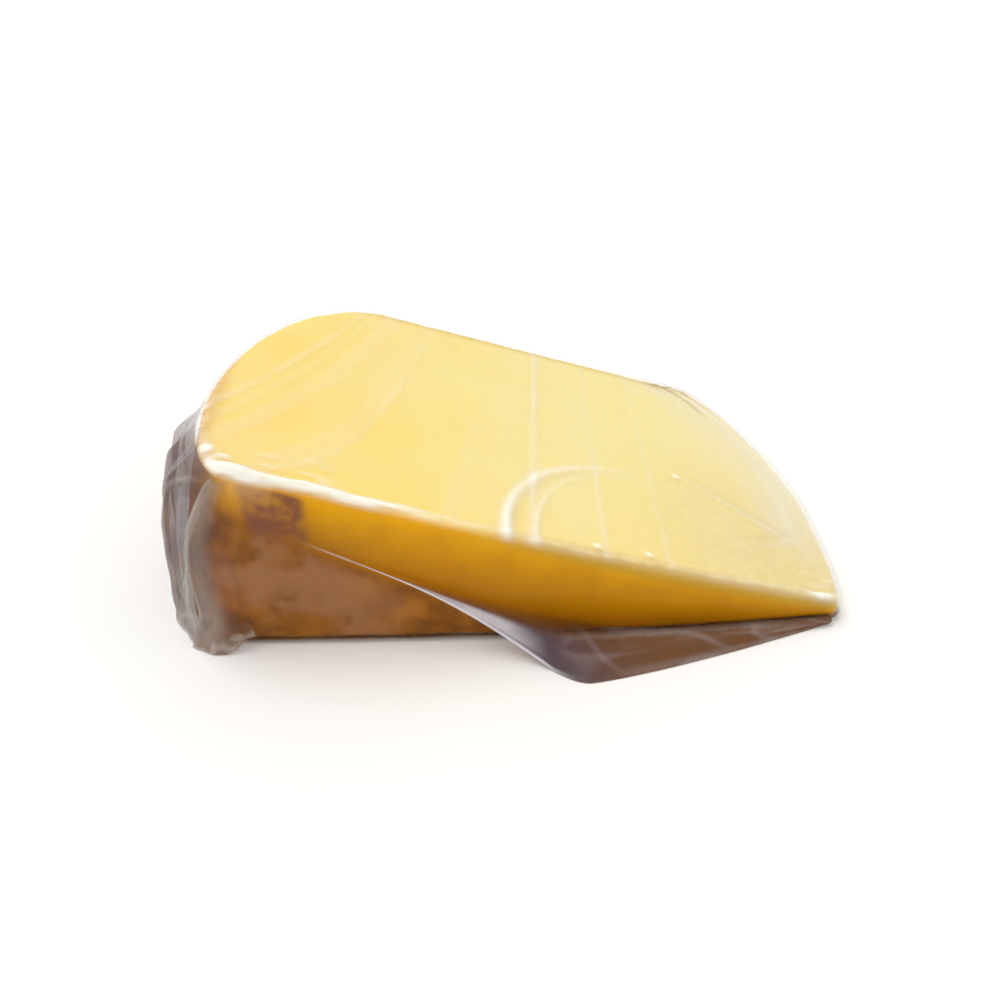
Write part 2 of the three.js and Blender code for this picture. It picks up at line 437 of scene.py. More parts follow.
@dataclass(frozen=True)
class CheeseFinish:
    """Semi-hard cheese: moist waxy cut paste inside a brushed natural rind.

    The paste was cut by a wire. It is translucent, so bright light on the upper face comes out of the
    near side as a band of amber just under the edge; that band is painted into the rind's colour, as
    painted glow that dims downwards into painted shade. The rind is dull, mottled and finely pitted.
    """

    paste_pale: str = "F6E59A"  # freshly cut, towards the tip
    paste_deep: str = "FEDB6C"  # towards the rim
    paste_dry_and_shaded: str = "D0AC50"  # dried edge next to the rind, and painted shade towards the near side and the tip
    # Painted glow: light through the paste, bright amber under the edge dimming to painted shade below.
    painted_glow: str = "EEAE02"
    painted_glow_dim: str = "A86400"
    rind_brown: str = "A8691A"
    rind_dark: str = "7A480E"
    rind_rosy: str = "B07A50"
    # Real dark stains, also used as painted shade in the rim's near corner.
    stain_and_shade: str = "86503A"
    softened: str = "BF9C38"  # the near edge towards the tip, where the film blurs it
    clouds: Grain = Grain(30, 3)  # slow changes in the paste's warmth
    crumb: Grain = Grain(2.2, 5)  # the paste's broken grain
    mottle: Grain = Grain(7, 5)
    bloom: Grain = Grain(12, 3)
    amber_clouds: Grain = Grain(10, 3)
    spots: Grain = Grain(3.5, 5)
    pits: Grain = Grain(0.9, 4, roughness=0.7)
    crumb_share: float = 0.25  # of the relief
    amber_smoothness: float = 0.3  # the share of the pits that shows where the side is lit from inside
    relief: float = 0.35
    relief_depth: float = 0.4  # millimetres
    paste_roughness: float = 0.42
    rind_roughness: float = 0.6
    ior: float = 1.45  # that of milk fat
    specular: float = 0.06  # the film over it takes most of its shine
    glow: float = 0.35
    glow_reach: Point = (1.0, 0.55, 0.14)  # red goes furthest through the paste
    glow_scale: float = 5.0  # millimetres

    def paste(self, tree: Tree, masks: dict[str, Socket]) -> Socket:
        """The paste's colour: pale, warmer at the rim and by the rind, faintly clouded, with painted shade.

        Args:
            tree: The material's node tree.
            masks: The mesh's masks.

        Returns:
            The colour.
        """
        clouds = self.clouds.share(tree, 0.35, 0.7, -0.12, 0.16)
        crumb = self.crumb.share(tree, 0.3, 0.65, 0.55, 1.0)
        warm = add_node(tree, "ShaderNodeMath", clamped("ADD"), {0: masks["warm"], 1: clouds})
        dry_and_shade = add_node(tree, "ShaderNodeMath", clamped("MULTIPLY"), {0: masks["dry_and_shade"], 1: crumb})
        layers = [(warm, linear(self.paste_deep)), (dry_and_shade, linear(self.paste_dry_and_shaded))]
        return painted(tree, linear(self.paste_pale), layers)

    def rind(self, tree: Tree, masks: dict[str, Socket]) -> Socket:
        """The rind's colour: mottled brown with rosy bloom, painted glow, dark marks and painted corner
        shade.

        Args:
            tree: The material's node tree.
            masks: The mesh's masks.

        Returns:
            The colour.
        """
        # Painted glow, dimming downwards into painted shade.
        lit = [
            (masks["glow"], linear(self.painted_glow)),
            (self.amber_clouds.share(tree, 0.35, 0.7, 0.0, 0.22), linear(self.painted_glow_dim)),
        ]
        glow_band = painted(tree, linear(self.painted_glow_dim), lit)
        bloom, spots = self.bloom.share(tree, 0.35, 0.6), self.spots.share(tree, 0.35, 0.62, 0.5)
        worn = {
            name: add_node(tree, "ShaderNodeMath", clamped("MULTIPLY"), {0: masks[name], 1: patch})
            for name, patch in (("rosy", bloom), ("stain_and_shade", spots))
        }
        layers = [
            (self.mottle.share(tree, 0.36, 0.66), linear(self.rind_dark)),
            (worn["rosy"], linear(self.rind_rosy)),
            (masks["glow_band"], glow_band),
            # Stains, with painted shade in the rim's near corner under the same mask.
            (worn["stain_and_shade"], linear(self.stain_and_shade)),
        ]
        return painted(tree, linear(self.rind_brown), layers)

    def surface(self, tree: Tree, masks: dict[str, Socket]) -> Socket:
        """The relief: pits in the bare rind, and the fine grain of the paste.

        Args:
            tree: The material's node tree.
            masks: The mesh's masks.

        Returns:
            The surface's normal.
        """
        links = {"Value": masks["glow_band"], "To Min": 1.0, "To Max": self.amber_smoothness}
        unlit = add_node(tree, "ShaderNodeMapRange", SMOOTH, links)
        bare = add_node(tree, "ShaderNodeMath", clamped("MULTIPLY"), {0: masks["rind"], 1: unlit})
        pits = add_node(tree, "ShaderNodeMath", clamped("MULTIPLY"), {0: self.pits.pattern(tree), 1: bare})
        links = {0: self.crumb.pattern(tree), 1: self.crumb_share}
        crumb = add_node(tree, "ShaderNodeMath", clamped("MULTIPLY"), links)
        height = add_node(tree, "ShaderNodeMath", clamped("ADD"), {0: pits, 1: crumb})
        links = {"Height": height, "Strength": self.relief, "Distance": self.relief_depth * MILLI}
        return add_node(tree, "ShaderNodeBump", links=links)

    def build(self) -> bpy.types.Material:
        """Makes the material, which reads the masks of the cheese's mesh.

        Returns:
            The material.
        """
        material = empty_material("cheese")
        tree = material.node_tree
        names = ("warm", "dry_and_shade", "rosy", "glow_band", "glow", "stain_and_shade", "rind", "softened")
        masks = read_masks(tree, names)
        layers = [(masks["rind"], self.rind(tree, masks)), (masks["softened"], linear(self.softened))]
        colour = painted(tree, self.paste(tree, masks), layers)
        links = {"Value": masks["rind"], "To Min": self.paste_roughness, "To Max": self.rind_roughness}
        roughness = add_node(tree, "ShaderNodeMapRange", SMOOTH, links)
        links = {
            "Base Color": colour,
            "Roughness": roughness,
            "IOR": self.ior,
            "Subsurface Weight": self.glow,
            "Subsurface Radius": self.glow_reach,
            "Subsurface Scale": self.glow_scale * MILLI,
            "Specular IOR Level": self.specular,
            "Normal": self.surface(tree, masks),
        }
        body = add_node(tree, "ShaderNodeBsdfPrincipled", links=links)
        add_node(tree, "ShaderNodeOutputMaterial", links={"Surface": body})
        return material


@dataclass(frozen=True)
class FilmFinish:
    """Cast polyethylene stretch film: clear, glossy and thin.

    Flat film shows only its gloss. Where it is creased it turns milky, and painted highlights share that
    white. Where it lies in loose folds, painted shade stands for the dark gaps and table behind it.
    """

    # White of creased film, also used for painted highlights.
    milk_and_highlight: str = "FDFBEE"
    # Painted shade of the dark gaps and table behind loose film, warm and cool.
    shade_behind: str = "8A5C30"
    shade_behind_cool: str = "544650"
    shade_behind_patches: Grain = Grain(9, 4)
    crinkle: Grain = Grain(5, 3, stretch=(1.0, 2.2, 1.0))
    fine_crinkle: Grain = Grain(1.6, 4, stretch=(1.0, 4.0, 1.0))  # drawn coarse enough to show
    fine_share: float = 0.35  # of the relief
    relief: float = 0.3
    relief_depth: float = 0.35  # millimetres
    gloss: float = 0.14
    head_on: float = 0.01  # share of light reflected when seen square on
    grazing: float = 0.5  # more than that at a low angle
    grazing_power: float = 5.0
    least: float = 0.001  # keeps a division from failing where the film is clear

    def surface(self, tree: Tree) -> Socket:
        """The relief: small crinkles drawn out across the film's pull.

        Args:
            tree: The material's node tree.

        Returns:
            The surface's normal.
        """
        parts = ((self.fine_crinkle, self.fine_share), (self.crinkle, 1 - self.fine_share))
        heights = [
            add_node(tree, "ShaderNodeMath", clamped("MULTIPLY"), {0: grain.pattern(tree), 1: share})
            for grain, share in parts
        ]
        height = add_node(tree, "ShaderNodeMath", clamped("ADD"), {0: heights[0], 1: heights[1]})
        links = {"Height": height, "Strength": self.relief, "Distance": self.relief_depth * MILLI}
        return add_node(tree, "ShaderNodeBump", links=links)

    def body(self, tree: Tree, normal: Socket) -> Socket:
        """The film without its gloss: clear, with milk and painted highlights or painted shade over it.

        Args:
            tree: The material's node tree.
            normal: The surface's normal.

        Returns:
            The shader.
        """
        masks = read_masks(tree, ("milk_and_highlight", "shade_behind", "cool"))
        links = {0: masks["shade_behind"], 1: self.shade_behind_patches.share(tree, 0.3, 0.7, 0.8, 1.1)}
        shade_behind = add_node(tree, "ShaderNodeMath", clamped("MULTIPLY"), links)
        cover = add_node(tree, "ShaderNodeMath", clamped("MAXIMUM"), {0: masks["milk_and_highlight"], 1: shade_behind})
        both = add_node(tree, "ShaderNodeMath", clamped("ADD"), {0: masks["milk_and_highlight"], 1: shade_behind})
        both = add_node(tree, "ShaderNodeMath", clamped("ADD"), {0: both, 1: self.least})
        milk_and_highlight_share = add_node(tree, "ShaderNodeMath", clamped("DIVIDE"), {0: masks["milk_and_highlight"], 1: both})
        layers = [(masks["cool"], linear(self.shade_behind_cool)), (milk_and_highlight_share, linear(self.milk_and_highlight))]
        colour = painted(tree, linear(self.shade_behind), layers)
        clear = add_node(tree, "ShaderNodeBsdfTransparent")
        cloudy = add_node(tree, "ShaderNodeBsdfDiffuse", links={"Color": colour, "Normal": normal})
        return add_node(tree, "ShaderNodeMixShader", links={0: cover, 1: clear, 2: cloudy})

    def build(self, name: str) -> bpy.types.Material:
        """Makes the material.

        Args:
            name: Its name.

        Returns:
            The material, which reads three masks: milk with painted highlights, painted shade and a cool
                tint.
        """
        material = empty_material(name)
        tree = material.node_tree
        normal = self.surface(tree)
        shine = add_node(tree, "ShaderNodeBsdfGlossy", links={"Roughness": self.gloss, "Normal": normal})
        links = {"Blend": 0.5, "Normal": normal}
        facing = add_node(tree, "ShaderNodeLayerWeight", links=links, output="Facing")
        slant = add_node(tree, "ShaderNodeMath", clamped("POWER"), {0: facing, 1: self.grazing_power})
        edge = add_node(tree, "ShaderNodeMath", clamped("MULTIPLY"), {0: slant, 1: self.grazing})
        edge = add_node(tree, "ShaderNodeMath", clamped("ADD"), {0: edge, 1: self.head_on})
        links = {0: edge, 1: self.body(tree, normal), 2: shine}
        skin = add_node(tree, "ShaderNodeMixShader", links=links)
        add_node(tree, "ShaderNodeOutputMaterial", links={"Surface": skin})
        return material


@dataclass(frozen=True)
class FloorFinish:
    """Smooth pale matt card, faintly uneven in tone."""

    colour: str = "FBFAF8"
    shaded: str = "F6F5F2"
    clouds: Grain = Grain(120, 2)
    roughness: float = 0.8

    def build(self) -> bpy.types.Material:
        """Makes the material.

        Returns:
            The material.
        """
        material = empty_material("floor")
        tree = material.node_tree
        clouds = self.clouds.share(tree, 0.3, 0.7, 0.0, 0.3)
        tone = painted(tree, linear(self.colour), [(clouds, linear(self.shaded))])
        links = {"Base Color": tone, "Roughness": self.roughness}
        body = add_node(tree, "ShaderNodeBsdfPrincipled", links=links)
        add_node(tree, "ShaderNodeOutputMaterial", links={"Surface": body})
        return material


# The wedge's shape.


@dataclass(frozen=True)
class WedgeSize:
    """The wedge's sizes in its own millimetres."""

    depth: float = 96.0  # flat side to flat side
    top_length: float = 129.2  # of the upper face along the near side
    tip_offset: float = 2.0  # how far the middle of that length lies past the frame's middle
    rim: float = 43.4  # height at the rim
    tip: float = 4.4  # height at the tip
    base: float = 0.75  # height of the underside, which lies on folded film
    near_bow: float = 2.0
    rim_bulge: float = 8.6
    rim_bulge_at: float = 25.0  # along Y
    rim_setback: float = 26.0  # how far the rim's far corner is rounded off
    rim_power: float = 1.85  # of that curve, where 2 is an ellipse and less is flatter
    tip_bulge: float = 5.4
    tip_bulge_at: float = 43.0
    tip_setback: float = 17.0
    tip_power: float = 1.6
    edge: float = 1.9  # radius of the edges
    edge_share: float = 0.4  # of the height there, which the radius never passes

    @property
    def tip_x(self) -> float:
        """X of the tip's near corner."""
        return self.top_length / 2 + self.tip_offset

    @property
    def rim_x(self) -> float:
        """X of the rim's near corner."""
        return self.tip_x - self.top_length

    @property
    def slope(self) -> float:
        """How much the upper face falls for each millimetre towards the tip."""
        return (self.rim - self.tip) / self.top_length

    @property
    def radius(self) -> float:
        """The wheel's radius."""
        return math.hypot(self.top_length, self.rim)


@dataclass(frozen=True)
class Skin:
    """A closed skin over the wedge, as rings from the middle of the underside to the middle of the top.

    Attributes:
        points: The points, with shape (rings, points in a ring, 3).
        level: Where each lies: -1 on the underside, 0 at half height and 1 on the upper face.
    """

    points: Array
    level: Array

    @property
    def axes(self) -> tuple[Array, Array, Array]:
        """X, Y and Z of the points."""
        return self.points[..., 0], self.points[..., 1], self.points[..., 2]

    def faces(self) -> list[Face]:
        """The corners of its faces, with both middles capped."""
        return grid_faces(*self.level.shape, closed=True)

    def raised(self, lift: Array, floor: float) -> Array:
        """The points moved outwards.

        Args:
            lift: How far each is moved.
            floor: The lowest height that a point may have.

        Returns:
            The moved points.
        """
        moved = self.points + ring_normals(self.points) * lift[..., None]
        moved[..., 2] = np.maximum(moved[..., 2], floor)
        return moved


@dataclass(frozen=True)
class Wedge:
    """The wedge's surface and its place in the frame.

    Attributes:
        scale: Metres in one of the wedge's millimetres.
        origin: Where its origin lies in the frame.
        size: Its sizes.
        straight_steps: Points on the near side of the outline, before it is spaced evenly.
        corner_steps: Points on each quarter curve.
        far_steps: Points on the far side.
        round_steps: Rings round each edge of a skin.
        middle: How near a face's first ring comes to its middle, as a share.
    """

    scale: float
    origin: Array
    size: WedgeSize = WedgeSize()
    straight_steps: int = 200
    corner_steps: int = 120
    far_steps: int = 100
    round_steps: int = 7
    middle: float = 0.004

    @classmethod
    def from_box(cls, low: Vector, high: Vector) -> "Wedge":
        """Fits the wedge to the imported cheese.

        Args:
            low: The lowest corner of the cheese node, in metres.
            high: Its highest corner.

        Returns:
            The wedge in its place.
        """
        size = WedgeSize()
        scale = (high.y - low.y) / (size.depth + size.near_bow)
        x = high.x - (size.tip_x + size.tip_bulge) * scale
        return cls(scale, np.array([x, high.y - size.depth * scale, 0.0]), size)

    def place(self, points: Array) -> Array:
        """Moves points from the wedge's millimetres into the frame, in metres."""
        return np.asarray(points) * self.scale + self.origin

    def top(self, x: Values) -> Values:
        """Height of the upper cut face at x."""
        return self.size.base + self.size.tip + self.size.slope * (self.size.tip_x - x)

    def near(self, x: Values) -> Values:
        """Y of the near side at x."""
        share = np.clip((x - self.size.rim_x) / self.size.top_length, 0, 1)
        return -self.size.near_bow * np.sin(np.pi * share)

    def outline(self, count: int) -> Array:
        """The upper face's outline, counterclockwise from the rim's near corner.

        Args:
            count: How many points are wanted.

        Returns:
            The evenly spaced points.
        """
        s = self.size
        x = s.rim_x + s.top_length * np.linspace(0, 1, self.straight_steps, endpoint=False)
        tip, rim = s.tip_x + s.tip_bulge, s.rim_x - s.rim_bulge
        tip_far, rim_far = s.tip_bulge + s.tip_setback, s.rim_bulge + s.rim_setback
        far_x = np.linspace(tip - tip_far, rim + rim_far, self.far_steps, endpoint=False)
        near_tip = ((s.tip_x, s.tip_bulge_at), (s.tip_bulge, s.tip_bulge_at))
        far_tip = ((tip - tip_far, s.tip_bulge_at), (tip_far, s.depth - s.tip_bulge_at))
        far_rim = ((rim + rim_far, s.rim_bulge_at), (rim_far, s.depth - s.rim_bulge_at))
        near_rim = ((s.rim_x, s.rim_bulge_at), (s.rim_bulge, s.rim_bulge_at))
        parts = [
            np.stack([x, self.near(x)], 1),
            self.quarter(*near_tip, power=2.0, start=3),
            self.quarter(*far_tip, power=s.tip_power, start=0),
            np.stack([far_x, np.full_like(far_x, s.depth)], 1),
            self.quarter(*far_rim, power=s.rim_power, start=1),
            self.quarter(*near_rim, power=2.0, start=2),
        ]
        return resample(np.concatenate(parts), count, closed=True)

    def quarter(self, centre: Flat, radii: Flat, power: float, start: int) -> Array:
        """A quarter of an ellipse, or of its squarer or flatter kin.

        Args:
            centre: Its centre.
            radii: Its radii along X and Y.
            power: 2 for an ellipse, less for a flatter curve.
            start: The quarter turn at which it starts.

        Returns:
            Its points, without the last.
        """
        angle = (start + np.linspace(0, 1, self.corner_steps, endpoint=False)) * QUARTER_TURN
        turned = np.stack([np.cos(angle), np.sin(angle)], 1)
        return np.array(centre) + np.array(radii) * np.sign(turned) * np.abs(turned) ** (2 / power)

    def follow_arc(self, points: Array) -> Array:
        """Lets the rim follow the wheel's circle about the tip, below the upper face.

        Args:
            points: Points whose rim stands upright.

        Returns:
            The moved points.
        """
        s = self.size
        x, z = points[..., 0], points[..., 2]

        def lag(height: Array) -> Array:
            """How far the circle falls back towards the tip at a height."""
            return s.radius - np.sqrt(s.radius**2 - np.clip(height, 0, 0.6 * s.radius) ** 2)

        weight = Ramp(0.4 * s.top_length, s.top_length)(s.tip_x - x)
        moved = points.copy()
        moved[..., 0] = x + weight * (lag(z) - lag(self.top(x)))
        return moved

    def inset(self, outline: Array, distance: Values) -> Array:
        """The outline pulled in on every side.

        Args:
            outline: The outline's points.
            distance: How far each is pulled in, or pushed out for a negative one.

        Returns:
            The moved points.
        """
        s = self.size
        centre = np.array([(s.tip_x + s.rim_x) / 2, s.depth / 2])
        half = np.array([s.top_length / 2, s.depth / 2])
        return centre + (outline - centre) * (1 - np.asarray(distance)[..., None] / half)

    def rings(self, outline: Array, grow: float, caps: int, walls: int) -> list[Ring]:
        """The rings of a skin, from the middle of the underside up to the middle of the top.

        Args:
            outline: The outline that each ring follows.
            grow: How far the skin stands off the cheese.
            caps: The number of rings on each cut face.
            walls: The number of rings on the sides.

        Returns:
            The plan, the height and the level of each ring.
        """
        s = self.size
        bottom = s.base - grow
        radius = np.minimum(s.edge, s.edge_share * (self.top(outline[:, 0]) + grow - bottom))
        face = self.inset(outline, radius - grow)
        side = self.inset(outline, np.full(len(outline), -grow))
        wall = self.top(side[:, 0]) + grow - bottom - 2 * radius
        centre = face.mean(0)
        rings = []
        for share in np.linspace(self.middle, 1, caps, endpoint=False):
            rings.append((centre + (face - centre) * share, bottom, -1.0))
        for turn in np.linspace(0, 1, self.round_steps, endpoint=False):
            plan = self.inset(outline, radius * (1 - np.sin(turn * QUARTER_TURN)) - grow)
            rings.append((plan, bottom + radius * (1 - np.cos(turn * QUARTER_TURN)), -1 + 0.5 * turn))
        for share in np.linspace(0, 1, walls):
            rings.append((side, bottom + radius + wall * share, share - 0.5))
        for turn in np.linspace(0, 1, self.round_steps + 1)[1:]:
            plan = self.inset(outline, radius * (1 - np.cos(turn * QUARTER_TURN)) - grow)
            height = self.top(plan[:, 0]) + grow - radius * (1 - np.sin(turn * QUARTER_TURN))
            rings.append((plan, height, 0.5 + 0.5 * turn))
        for share in np.linspace(1, self.middle, caps + 1)[1:]:
            plan = centre + (face - centre) * share
            rings.append((plan, self.top(plan[:, 0]) + grow, 1.0))
        return rings

    def skin(self, count: int, grow: float, caps: int, walls: int) -> Skin:
        """A skin over the whole wedge.

        Args:
            count: The number of points in each ring.
            grow: How far the skin stands off the cheese.
            caps: The number of rings on each cut face.
            walls: The number of rings on the sides.

        Returns:
            The skin.
        """
        rings = self.rings(self.outline(count), grow, caps, walls)
        points = [self.follow_arc(points_of(plan[:, 0], plan[:, 1], height)) for plan, height, _ in rings]
        return Skin(np.array(points), np.repeat([[level] for _, _, level in rings], count, axis=1))


# The pieces.


@dataclass(frozen=True)
class CheeseBody:
    """The cheese itself: two cut faces, two flat rind sides, the rim and the blunt tip.

    Lengths are in millimetres, and ramps run along X from the wedge's origin unless they say otherwise.
    """

    wedge: Wedge
    outline_points: int = 560
    caps: int = 70
    walls: int = 40
    worn_depth: float = 0.45  # of the crumbled edges
    pit_depth: float = 0.35
    side_waves: float = 0.3  # height of the rind's unevenness
    wire_waves: float = 0.06  # height of the marks of the cutting wire
    face_waves: float = 0.15
    glow_top: float = 26.0  # where the painted glow band's lower limit starts, near the rim
    glow_start: float = 12.0  # how far from the rim that is
    glow_end: float = 24.0  # X at which the limit reaches the table
    glow_curve: float = 1.6
    glow_fade: float = 1.15  # how fast the painted glow darkens downwards into painted shade
    glow_fade_drop: float = 0.4  # how much slower it does near the rim
    least_band: float = 4.0
    raggedness: float = 1.6  # of the band and the stained patch
    patch_stain: float = 0.95
    mark_stain: float = 0.6
    # Painted shade in the rim's near corner, laid on in the stain colour.
    corner_shade: float = 0.45
    near_shade: float = 0.4  # painted shade of the upper face towards the near side and the tip
    softness: float = 0.75
    rind_level: Ramp = Ramp(0.97, 0.6)  # by level, either way
    amber_limit: Ramp = Ramp(-1.5, 2.0)  # by height over the band's lower limit
    near_face: Ramp = Ramp(6.0, 2.0)  # by Y
    patch_start: Ramp = Ramp(0.5, 3.0)  # both by distance from the rim
    patch_end: Ramp = Ramp(15.6, 12.6)
    patch_top: Ramp = Ramp(1.0, 2.2)  # both by depth below the upper face
    patch_bottom: Ramp = Ramp(15.0, 11.0)
    marks: Ramp = Ramp(-20.0, -40.0)
    rosy: Ramp = Ramp(-20.0, -48.0)
    dry_border: Ramp = Ramp(5.0, 0.5)  # by distance from the rind
    soft_near: Ramp = Ramp(3.0, 0.8)  # by Y
    soft_start: Ramp = Ramp(-25.0, 10.0)
    noise: Noise = field(default_factory=lambda: Noise(11))

    def glow_limit(self, x: Array) -> Array:
        """Height of the amber band's lower limit on the near side.

        Args:
            x: Places along the near side.

        Returns:
            The limit at each place.
        """
        start = self.wedge.size.rim_x + self.glow_start
        share = np.clip(1 - (x - start) / (self.glow_end - start), 0, 1.25)
        return self.glow_top * share**self.glow_curve

    def relief(self, skin: Skin, rind: Array) -> Array:
        """Worn crumbly edges, pits in the rind, and the faint waves of a wire cut on the faces.

        Args:
            skin: The smooth skin.
            rind: Where the rind is.

        Returns:
            The points of the skin with its relief.
        """
        points, noise = skin.points, self.noise
        edge = Ridge(0.8, 0.22)(np.abs(skin.level))
        worn = -self.worn_depth * edge * np.clip(noise.layered(points, 5), 0, 1)
        pitted = -self.pit_depth * rind * np.clip(noise.layered(points + 90, 3.5) - 0.1, 0, 1)
        uneven = self.side_waves * rind * noise(points, 18)
        waves = self.wire_waves * noise(points, (3.0, 40.0, 40.0)) + self.face_waves * noise(points, 30)
        return skin.raised(worn + pitted + uneven + waves * (1 - rind), self.wedge.size.base)

    def side_masks(self, skin: Skin, moved: Array, rind: Array) -> dict[str, Array]:
        """The painted glow band of the near and far sides, the stains, painted corner shade and the rosy
        bloom.

        Args:
            skin: The smooth skin.
            moved: Its points with their relief.
            rind: Where the rind is.

        Returns:
            The masks by name.
        """
        x, y, z = skin.axes
        from_rim = x - self.wedge.size.rim_x
        top, limit = self.wedge.top(x), self.glow_limit(x)
        below_top = top - z
        ragged = self.raggedness * self.noise.layered(moved + 40, 9)
        band = np.maximum(top - limit, self.least_band)
        near_face = self.near_face(y)
        patch_x = self.patch_end(from_rim) * self.patch_start(from_rim)
        patch = patch_x * self.patch_top(below_top) * self.patch_bottom(below_top + 1.5 * ragged)
        marks = Ridge(0.75, 0.16)(self.noise.layered(moved + 10, 6)) * self.marks(x)
        # Painted shade in the rim's near corner.
        corner = Ramp(-0.5, -3.0)(from_rim) * Ramp(14.0, 5.0)(y) * Ramp(9.0, 18.0)(below_top)
        below_band = self.rosy(x) * Ramp(2.0, -4.0)(z - limit)
        rosy = np.clip(below_band + patch_x * (z > 20), 0, 1)
        # The painted glow darkens downwards into painted shade, more slowly near the rim.
        fade = self.glow_fade - self.glow_fade_drop * Ramp(-15.0, -40.0)(x)
        stain_and_shade = np.clip(near_face * (self.patch_stain * patch + self.mark_stain * marks), 0, 1)
        return {
            "glow_band": self.amber_limit(z - limit + ragged),
            "glow": np.clip(1 - below_top / band, 0, 1) ** fade,
            "stain_and_shade": np.maximum(stain_and_shade, self.corner_shade * corner * rind),
            "rosy": near_face * np.maximum(rosy, Ramp(6.0, 2.0)(from_rim)),
        }

    def face_masks(self, skin: Skin, rind: Array) -> dict[str, Array]:
        """The drying beside the rind with painted shade, the paste's warmth, and the near edge the film
        blurs.

        Args:
            skin: The smooth skin.
            rind: Where the rind is.

        Returns:
            The masks by name.
        """
        s = self.wedge.size
        x, y, z = skin.axes
        from_rim_bulge = np.maximum(x - (s.rim_x - s.rim_bulge), 0)
        border = np.minimum(s.depth - y, from_rim_bulge + 3 * (y > 60))
        near_border = Ramp(5.5, 0.5)(y - self.wedge.near(x)) * Ramp(-25.0, 8.0)(x)
        # Painted shade of the upper face, laid on in the dried colour.
        shade = self.near_shade * Ramp(5.0, 60.0)(x) * Ramp(75.0, 5.0)(y)
        dry_and_shade = np.maximum.reduce([self.dry_border(border), near_border, shade])
        upper_edge = Ramp(4.0, 0.8)(self.wedge.top(x) - z)
        softened = self.softness * self.soft_near(y) * self.soft_start(x) * upper_edge
        return {
            "dry_and_shade": dry_and_shade * (1 - rind),
            "warm": 0.85 * Ramp(45.0, s.rim_x)(x + 0.25 * y) + 0.15 * self.near_face(y),
            "softened": softened * Ramp(0.99, 0.8)(skin.level),
        }

    def build(self) -> bpy.types.Object:
        """Makes the mesh and dresses it.

        Returns:
            The new object.
        """
        tip_x = self.wedge.size.tip_x
        skin = self.wedge.skin(self.outline_points, 0.0, self.caps, self.walls)
        rind = self.rind_level(np.abs(skin.level)) * Ramp(tip_x + 3.0, tip_x - 1.0)(skin.points[..., 0])
        moved = self.relief(skin, rind)
        masks = {"rind": rind, **self.side_masks(skin, moved, rind), **self.face_masks(skin, rind)}
        material = CheeseFinish().build()
        place = self.wedge.place(moved)
        return make_piece("cheese_body", place, skin.faces(), masks, material, Node.CHEESE)


@dataclass(frozen=True)
class FaceFold:
    """A soft straight ridge in the film on the upper face, fading out at both ends.

    Attributes:
        start: Where it starts.
        end: Where it ends.
        strength: Its height, as a share.
        width: How broad it is, in millimetres.
    """

    start: Flat
    end: Flat
    strength: float
    width: float = 1.3

    def __call__(self, x: Array, y: Array) -> Array:
        """Its height at each point.

        Args:
            x: X of each point.
            y: Y of each point.

        Returns:
            The height, as a share.
        """
        run_x, run_y = np.subtract(self.end, self.start)
        length = math.hypot(run_x, run_y)
        away_x, away_y = x - self.start[0], y - self.start[1]
        along = (away_x * run_x + away_y * run_y) / length**2
        across = (away_x * run_y - away_y * run_x) / length
        ends = Ramp(0.0, 0.4)(along) * Ramp(1.0, 0.7)(along)
        return self.strength * Ridge(0.0, self.width)(across) * ends


@dataclass(frozen=True)
class SleeveFeatures:
    """How strongly each feature of the tight film shows at each point, from 0 to about 1."""

    upper: Array  # on the upper face
    stretch: Array  # the strongest stretch lines
    ring: Array  # the air pocket's rim
    pocket: Array  # inside it
    from_near: Array  # millimetres from the near edge
    roll_share: Array  # how far the near edge's roll has grown
    roll: Array
    puff: Array  # bunched film at the rim's near corner
    crumple: Array  # crumpled patches, up and down
    tip_crumple: Array  # where the one at the tip lies
    tip_fold: Array
    bridging: Array  # film that spans the tip's long curve
    wrinkles: Array  # at the far corner of the tip
    sparkle: Array
    hidden: Array  # the sides that the film is only pulled round
    slant: Array  # creases there


@dataclass(frozen=True)
class SleeveHeights:
    """How far each feature of the tight film stands up, in millimetres at its strongest."""

    fine_lines: float = 0.03
    broad_lines: float = 0.05
    stretch: float = 0.25
    roll: float = 0.8
    puff: float = 0.7
    crumple: float = 0.35
    sparkle: float = 0.4
    tip_fold: float = 0.12
    wrinkles: float = 0.25
    sides: float = 0.12
    side_creases: float = 0.35
    bridge: float = 0.8


@dataclass(frozen=True)
class SleeveMilkAndHighlight:
    """How milky each feature of the tight film is at its strongest, painted highlights included."""

    # The roll and puff are milky film with a painted highlight; sparkles and the rim's edge are painted
    # glints.
    roll: float = 1.3
    roll_base: float = 0.3  # of that, where the roll is thin
    roll_gain: float = 0.9  # and more where it has grown
    puff: float = 0.9
    ring: float = 0.9
    stretch: float = 3.0
    pocket: float = 0.15
    sparkle: float = 0.9
    tip_crumple: float = 0.15
    tip_fold: float = 0.16
    bridging: float = 0.42
    faint_lines: float = 0.14
    tip: float = 0.16
    everywhere: float = 0.05
    rim_edge: float = 0.5
    near_edge: float = 0.08
    side_creases: float = 0.3
    shaded_wrinkles: float = 0.8  # the share of white that the painted shade in the wrinkles takes away
